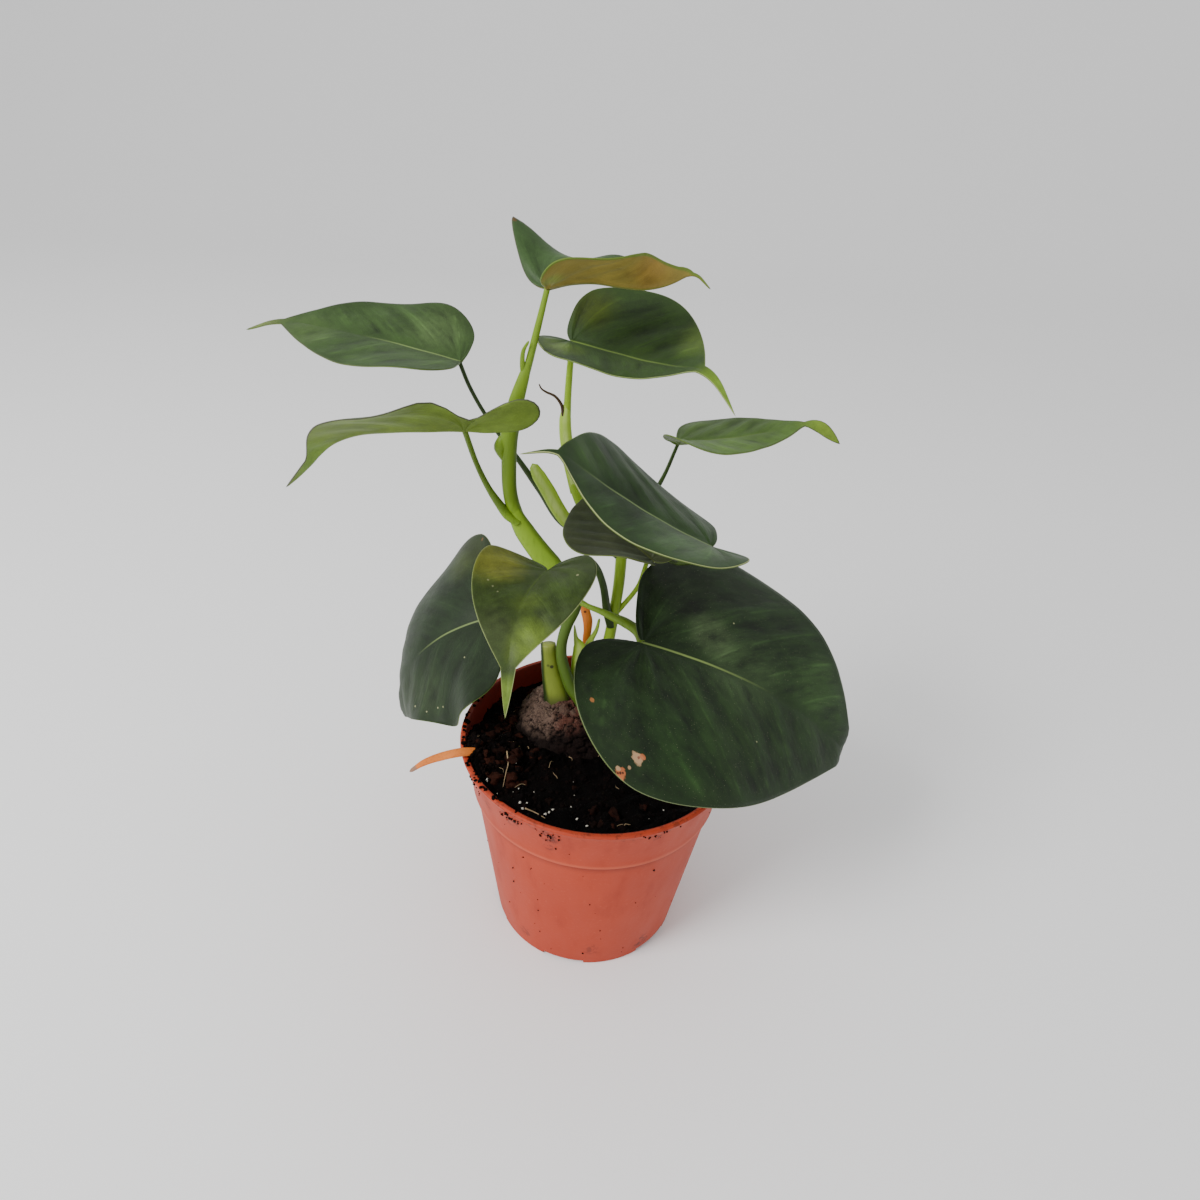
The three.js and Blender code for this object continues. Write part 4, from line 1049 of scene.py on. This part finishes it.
add_leaf("leaf_10", face(
    (28, 41, 21), (122, 140, 84), 0.75, 18, 46, margins=(GREEN_EDGE, PALE), vein=0.26,
    patches=[
        (8, -36, 12, (56, 66, 32), 0.7), (42, 22, 14, (44, 57, 34), 0.75),
        (60, 10, 14, (40, 52, 30), 0.5),
    ],
    spots=[
        (-0.6, -40.4, 0.9, (110, 76, 44), 0.9), (11.6, 17.1, 0.5, SPECK, 0.9),
        (54, 22.1, 0.5, SPECK, 0.9), (46.2, 30.1, 0.5, SPECK, 0.9), (38.1, 31.5, 0.5, SPECK, 0.9),
        (34.2, 32.5, 0.4, SPECK, 0.9),
    ],
), UNSEEN)


# Stems and stalks

def stem(name, base, light, dark, roughness=0.45, slot="green_stem", bands=(), sides=(), marks=()):
    """A stem's surface and slot. bands are heights, from and to in mm, colour and strength; sides are an
    angle round the stem from its right side towards its back, half width in degrees, colour and
    strength; marks are a place, radius, colour and strength."""
    s = Surface(name, roughness, 0.25)
    _, cos, sin, _ = s.stored("growth")
    broad = s.noise(11, 3)
    fibre = s.noise(1.1, 4, (1, 1, 0.12))
    height = s.parts(s.place)[2]
    s.colour = s.mix(broad, base, light)
    for low, high, tone, strength in bands:
        rise = s.step(height, low - 3, low + 3, MM)
        s.paint(rise * s.step(height, high + 3, high - 3, MM) * strength, tone)
    for angle, width, tone, strength in sides:
        turn = math.radians(angle)
        facing = math.cos(turn) * cos + math.sin(turn) * sin + 0.3 * (broad - 0.5)
        reach = math.cos(math.radians(width))
        s.paint(strength * s.step(facing, reach - 0.15, reach + 0.2), tone)
    for place, radius, tone, strength in marks:
        s.paint(strength * s.step(s.distance(place), radius, 0.6 * radius, MM), tone)
    s.paint(0.3 * s.step(fibre, 0.5, 0.75), dark)
    s.paint(0.25 * s.step(s.noise(0.5, 2), 0.66, 0.76), light)
    return s.finish(0.15 * fibre + (roughness - 0.05), fibre, 0.08), slot


def stalk(name, path, radii):
    """A leaf stalk along its path, ended in its leaf: just inside the underside, at the joint."""
    joint = np.array(LEAVES[name].joint, dtype=float)
    out = leaf_axes(LEAVES[name])[2]
    approach = joint - path[-1]
    approach /= np.linalg.norm(approach)
    slant = math.sqrt(max(0.0, 1 - approach.dot(out) ** 2))
    return tube([*path, joint - out * (BLADE.middle / 2 + 0.55 * radii[-1] * slant)], radii, rounded=False)


# Painted shade laid down the edges of a stem.
PAINTED_SHADE_EDGE = (52, 76, 22)
LEFT = stem(
    "stem_left", (112, 148, 22), (136, 168, 36), (78, 110, 16),
    bands=[(80, 163, (56, 78, 26), 0.85), (206, 240, (94, 120, 26), 0.75)],
    # Its sides are painted shade down both edges of the stem.
    sides=[(0, 38, PAINTED_SHADE_EDGE, 0.45), (180, 38, PAINTED_SHADE_EDGE, 0.45)],
)
RIGHT = stem(
    "stem_right", (118, 152, 26), (144, 174, 44), (78, 110, 16),
    # Painted shade down the right edge, and a painted shadow on the stalks where they pass under leaf 6.
    sides=[(0, 30, PAINTED_SHADE_EDGE, 0.5)], marks=[((26, 3, 187), 16, (36, 50, 20), 0.92)],
)
GREEN = stem("stalk_green", (98, 128, 26), (124, 152, 42), (64, 90, 16))
OLIVE_STALK = stem(
    "stalk_olive", (72, 96, 22), (98, 124, 36), (48, 66, 14), bands=[(190, 203, (116, 150, 26), 0.9)],
)
DARK = stem("stalk_dark", (36, 52, 20), (60, 82, 32), (24, 36, 14))
YELLOW = stem(
    # Painted highlight: a pale stripe down the side of the sheaths that faces the front.
    "sheath_green", (132, 164, 42), (158, 186, 66), (96, 128, 24), sides=[(270, 20, (206, 216, 150), 0.5)],
)
STUMP = stem(
    "stump_pale", (104, 118, 34), (124, 138, 46), (76, 92, 24), slot="pale_stem",
    bands=[(133.9, 150, (150, 158, 80), 0.6), (96, 111.5, (62, 66, 30), 0.85)],
    sides=[(185, 50, (26, 44, 16), 0.95), (0, 40, (60, 84, 24), 0.5)],
    marks=[((-24.3, 13.3, 125.6), 1.4, (34, 32, 16), 0.9), ((-22.9, 12.8, 125.2), 1.2, (34, 32, 16), 0.9)],
)
SHOOT = stem(
    "shoot_lime", (130, 164, 44), (164, 190, 76), (96, 128, 30), slot="young_shoot",
    bands=[(80, 131, (168, 74, 36), 0.85)],
)
DRY = stem(
    "dry_orange", (196, 96, 30), (226, 136, 60), (120, 54, 20), 0.65, "dry_sheath",
    marks=[((-76, -28, 95.5), 3.5, (120, 108, 96), 0.8), ((-10.3, 24.0, 147.6), 0.8, (60, 30, 18), 0.9)],
)

add_tubes("stem_left_trunk", LEFT, [
    tube([
        (-4.5, 6.5, 96), (-6.1, 7, 103.9), (-8.6, 7.5, 111.2), (-13.4, 9, 117.2), (-16.5, 10.5, 124),
        (-18.7, 12, 131.2), (-18.9, 13, 138.4), (-17.2, 14, 146.7), (-14.6, 14.5, 154.5),
        (-14, 14.5, 160.5), (-16.5, 13.5, 166), (-24.1, 11.5, 175.7), (-29.6, 10, 183.3),
        (-34.8, 8.5, 191.6), (-38.7, 6.5, 200.4), (-40.8, 4.5, 210), (-41.3, 4, 224), (-41.1, 4, 234.7),
        (-38.8, 4, 246),
    ], [3, 3, 3, 2.8, 2.6, 2.4, 2.3, 2.4, 2.6, 2.7, 2.7, 3, 3.1, 3.1, 2.8, 2.7, 2.8, 3.4, 2.1]),
    tube([(-43, 4, 223.5), (-44.2, 3.5, 228.2), (-43.2, 4, 232.5)], [1.3, 2.7, 1.5]),
], ["stem_left"])
add_tubes("sheath_low", YELLOW, [tube([
    (-6.5, 9, 102), (-9.7, 11, 113.9), (-12, 13.5, 120.6), (-11.7, 15.5, 127.9), (-11.4, 16.5, 134.2),
    (-13.2, 17, 138.4), (-14.2, 17, 145),
], [2.6, 2.4, 2.2, 2.8, 2.9, 1, 0.3], flat=0.45)])
add_tubes("stalk_leaf_1", GREEN, [
    stalk("leaf_1", [
        (-40.5, 4, 238), (-38.5, 4, 246), (-35.5, 4.5, 256.5), (-32.3, 4.8, 270.5), (-30.2, 4.7, 280),
    ], [2.4, 1.9, 1.4, 1.2, 1, 1]),
    tube([
        (-40.8, 3.2, 237), (-38.7, 3, 246), (-36.2, 3.5, 255), (-34.6, 4, 261),
    ], [2.8, 2.7, 1.9, 0.8], flat=0.6),
    tube([
        (-36.2, 3.8, 253), (-36.9, 3.2, 259), (-36.6, 3, 263.5), (-34.8, 2.6, 267),
    ], [1, 0.9, 0.7, 0.4], flat=0.6),
])
add_tubes("stalk_leaf_4", OLIVE_STALK, [stalk("leaf_4", [
    (-37.3, 5, 197.8), (-41.4, 4, 200.9), (-44.9, 3, 206), (-48.3, 2, 211.9), (-52, -1, 222),
], [2, 2, 1.6, 1.2, 1, 1])])
add_tubes("sheath_leaf_4", LEFT, [tube([
    (-21, 10.5, 172.8), (-25.6, 9.5, 178.5), (-30.8, 8, 186), (-35.5, 6.5, 193.8), (-38.5, 5, 200.7),
    (-40.2, 4.5, 205.8),
], [4, 4.9, 4.5, 4.1, 3, 1.6], flat=0.6)])
add_tubes("stalk_leaf_9", GREEN, [stalk("leaf_9", [
    (-13.7, 14, 159.5), (-8.8, 10.5, 159.2), (-3.6, 7, 159.5), (1.9, 3, 159.7), (7.2, -2, 160.6),
    (11.7, -7.5, 160.9),
], [1.5, 1.1, 1.3, 1.7, 2.1, 2.1, 1.6])])
add_tubes("stalk_leaf_10", OLIVE_STALK, [stalk("leaf_10", [
    (-16, 14, 163), (-21, 19, 164.5), (-28, 26, 160.5), (-37, 32, 149.5), (-45, 35, 138),
    (-51, 35.5, 131.5),
], [1.9, 1.9, 1.9, 1.8, 1.7, 1.6, 1.6])])
add_tubes("stump_cut", STUMP, [tube([
    (-18.2, 10.5, 97), (-19.2, 11, 105), (-20.9, 12.5, 112.6), (-23.1, 14.5, 120.8), (-24.4, 15.5, 128.9),
    (-25.1, 16, 134.8),
], [6.4, 6.1, 5.3, 4.2, 3.6, 3.3], flat=0.75, sides=32, rounded=False)], ["cut_stump"])

add_tubes("stem_right_trunk", RIGHT, [
    tube([
        (-2, 22, 92), (-1, 22, 112), (0.2, 22, 130), (1.2, 22.5, 137), (2.3, 23.4, 149), (3.2, 25, 163),
        (3.2, 27, 178),
    ], [2.9, 2.8, 2.6, 2.5, 2.3, 2.4, 2.4]),
    stalk("leaf_2", [
        (3, 27, 176), (-5, 31, 183.5), (-14, 33, 192), (-19.5, 34, 204.5), (-22.6, 33, 222),
        (-22.8, 31, 238.5), (-22.3, 29, 254),
    ], [2.4, 2.2, 2.1, 2, 2, 1.4, 1.2, 1.2]),
    stalk("leaf_7", [
        (2.2, 23.4, 148), (6, 24, 153), (11.5, 24, 163), (13.5, 24, 172), (14.3, 20, 179.5),
        (14.5, 10, 184),
    ], [1.5, 1.1, 1, 1, 1, 1, 1]),
    stalk("leaf_6", [
        (13.8, 22.8, 175.5), (18.5, 16, 182), (25, 5, 186), (31, -5, 193), (32.5, -12, 199.5),
    ], [0.9, 1, 1, 1, 1, 1]),
], ["stem_right"])
add_tubes("stalks_dark", DARK, [
    stalk("leaf_3", [
        (2.8, 27, 175), (-7, 32, 180), (-22.5, 35, 184.5), (-33, 37, 197.5), (-42.5, 37, 210.5),
        (-54.5, 34, 228), (-60.5, 30, 241),
    ], [2.3, 2.1, 1.9, 1.5, 1.1, 0.8, 0.8, 0.8]),
    stalk("leaf_5", [
        (1.5, 22.5, 143), (-0.8, 21, 151), (-2, 19, 158.6), (-3.4, 17.5, 165.8), (-6.3, 15.5, 174.3),
        (-10.1, 11, 180.5), (-17, -5, 186.5),
    ], [2.2, 1.9, 1.7, 1.6, 1.5, 1.5, 1.4, 1.3]),
    stalk("leaf_8", [
        (3.2, 27, 175), (8, 31, 186), (13.5, 31, 201), (17.5, 26.5, 214), (19.6, 20.5, 225),
    ], [2.1, 1.6, 1.1, 0.8, 0.7, 0.7]),
])
add_tubes("sheaths_right", YELLOW, [
    tube([
        (-18.5, 33.5, 199), (-20.8, 32.5, 212), (-22.9, 31.5, 224), (-23.4, 31, 231.3),
        (-22.9, 30.5, 239),
    ], [1.6, 2.6, 2.5, 2.3, 0.8], flat=0.6),
    tube([
        (-14, 33, 180), (-21.3, 33.5, 186.4), (-25.3, 33.5, 192), (-29.3, 34, 198.7), (-33.4, 35, 204.6),
        (-36, 35.5, 209),
    ], [2.2, 3, 3.1, 3.1, 2.9, 1.8], flat=0.45),
])

add_tubes("cataphyll_dry", DRY, [tube([
    (-8, 25, 99), (-8.4, 25.5, 123.8), (-9, 25.5, 132), (-8.7, 25.5, 137.4), (-9, 25.5, 142.6),
    (-10.2, 25.3, 147.3), (-11.2, 25, 152),
], [1.6, 1.6, 1.6, 1.8, 2.2, 2.1, 1.4], flat=0.55)], ["dry_cataphyll"])
add_tubes("shoot_green", SHOOT, [tube([
    (-7.2, 20.5, 98), (-7.6, 20.5, 118), (-8, 20.5, 127.4), (-7.7, 20.5, 132.9), (-6.4, 20.5, 136.7),
    (-4.7, 20.5, 141.1), (-3.8, 20.5, 147),
], [1.3, 1.4, 1.5, 1.6, 1.2, 0.9, 0.5])], ["green_shoot"])
add_tubes("strip_dry", DRY, [tube([
    (-45, -17, 98.5), (-50.5, -20, 101.8), (-56.5, -22.5, 103), (-64.5, -24, 101), (-71, -26, 98.8),
    (-76.5, -28, 95.2),
], [1.8, 1.9, 2, 1.9, 1.5, 0.8], flat=0.45, across=(0, 1, 0.2))], ["dry_strip"])


# Thin threads: roots in the soil and a dried shred on a stalk

def thread(path, radius, end=0.3):
    """A thin thread that narrows to a share of its radius."""
    return tube(path, [radius, radius * (1 + end) / 2, radius * end], sides=8, spacing=0.6)


def make_threads():
    draw = np.random.default_rng(31)
    roots = []
    for run in (
        [(-37.9, -16.3), (-36.4, -22.9), (-36.4, -28.8), (-36.8, -34.1)],
        [(-26.2, -45.9), (-22.3, -46.0), (-17.8, -50.2)],
    ):
        roots.append(thread([ground(x, y, 0.9 + draw.uniform(0, 0.8)) for x, y in run], 0.32))
    for x, y, _ in on_soil(draw, 26):
        turn = draw.uniform(0, FULL_TURN)
        length = draw.uniform(2, 6)
        path = []
        for _ in range(4):
            turn += draw.normal(0, 0.5)
            x += length / 3 * math.cos(turn)
            y += length / 3 * math.sin(turn)
            inside = min(1.0, 54 / math.hypot(x, y))
            path.append(ground(x * inside, y * inside, draw.uniform(0.3, 1.3)))
        roots.append(thread(path, draw.uniform(0.1, 0.2)))
    pale = plain_material("root_pale", (190, 168, 132), (120, 92, 64))
    add_tubes("root_threads", (pale, "potting_soil"), roots)
    dried = plain_material("shred_brown", (44, 34, 24), (78, 60, 36))
    shred = [
        (-24.2, 30.5, 232.5), (-24.9, 30.2, 236.5), (-27.6, 30, 240), (-31.1, 30, 241.4),
        (-33, 30, 242.6), (-33.9, 30, 244.3),
    ]
    add_tubes("sheath_shred", (dried, "green_stem"), [thread(shred, 0.75, 0.35)])


make_threads()


# Floor, light and camera

def make_floor():
    """A pale sheet that runs back level and then sweeps up."""
    s = Surface("floor_pale", 0.9, 0.1)
    s.colour = s.mix(s.noise(400, 2), (250, 250, 250), (247, 247, 247))
    reach, front, back, bend, top = 5000, -3000, 1600, 1400, 4000
    section = [(front, 0), (back, 0), *arc(back, bend, bend, range(-85, 1, 5)), (back + bend, top)]
    corners = [(x, y, z) for y, z in section for x in (-reach, reach)]
    add_mesh("floor", corners, grid_faces(len(section), 2), [s.finish()])


def make_studio():
    world = bpy.data.worlds.new("studio")
    world.use_nodes = True
    background = world.node_tree.nodes["Background"]
    background.inputs["Color"].default_value = (1, 1, 1, 1)
    background.inputs["Strength"].default_value = 0.85
    bpy.context.scene.world = world
    light = bpy.data.lights.new("key", "AREA")
    light.shape = "DISK"
    light.size = 0.7
    light.energy = 23
    lamp = add_object("key", light)
    lamp.location = (-0.95, -0.75, 1.15)
    lamp.rotation_euler = (Vector((0, 0, 0.12)) - lamp.location).to_track_quat("-Z", "Y").to_euler()


def make_camera():
    """The photograph's camera, fitted to the pot's rim, collar and foot."""
    place = (0.0, -278.6, 339.5)
    pan, pitch, roll = -0.014, 0.549, 0.079
    image_width = 1200
    focal = 824.3  # in pixels of the image
    camera = bpy.data.cameras.new("camera")
    camera.sensor_width = 36
    camera.lens = camera.sensor_width * focal / image_width
    camera.clip_start = 0.01
    viewer = add_object("camera", camera)
    turn = Matrix.Rotation(-pan, 4, "Z") @ Matrix.Rotation(math.pi / 2 - pitch, 4, "X")
    turn = turn @ Matrix.Rotation(roll, 4, "Z")
    viewer.matrix_world = Matrix.Translation(Vector(place) * MM) @ turn
    bpy.context.scene.camera = viewer


make_floor()
make_studio()
make_camera()
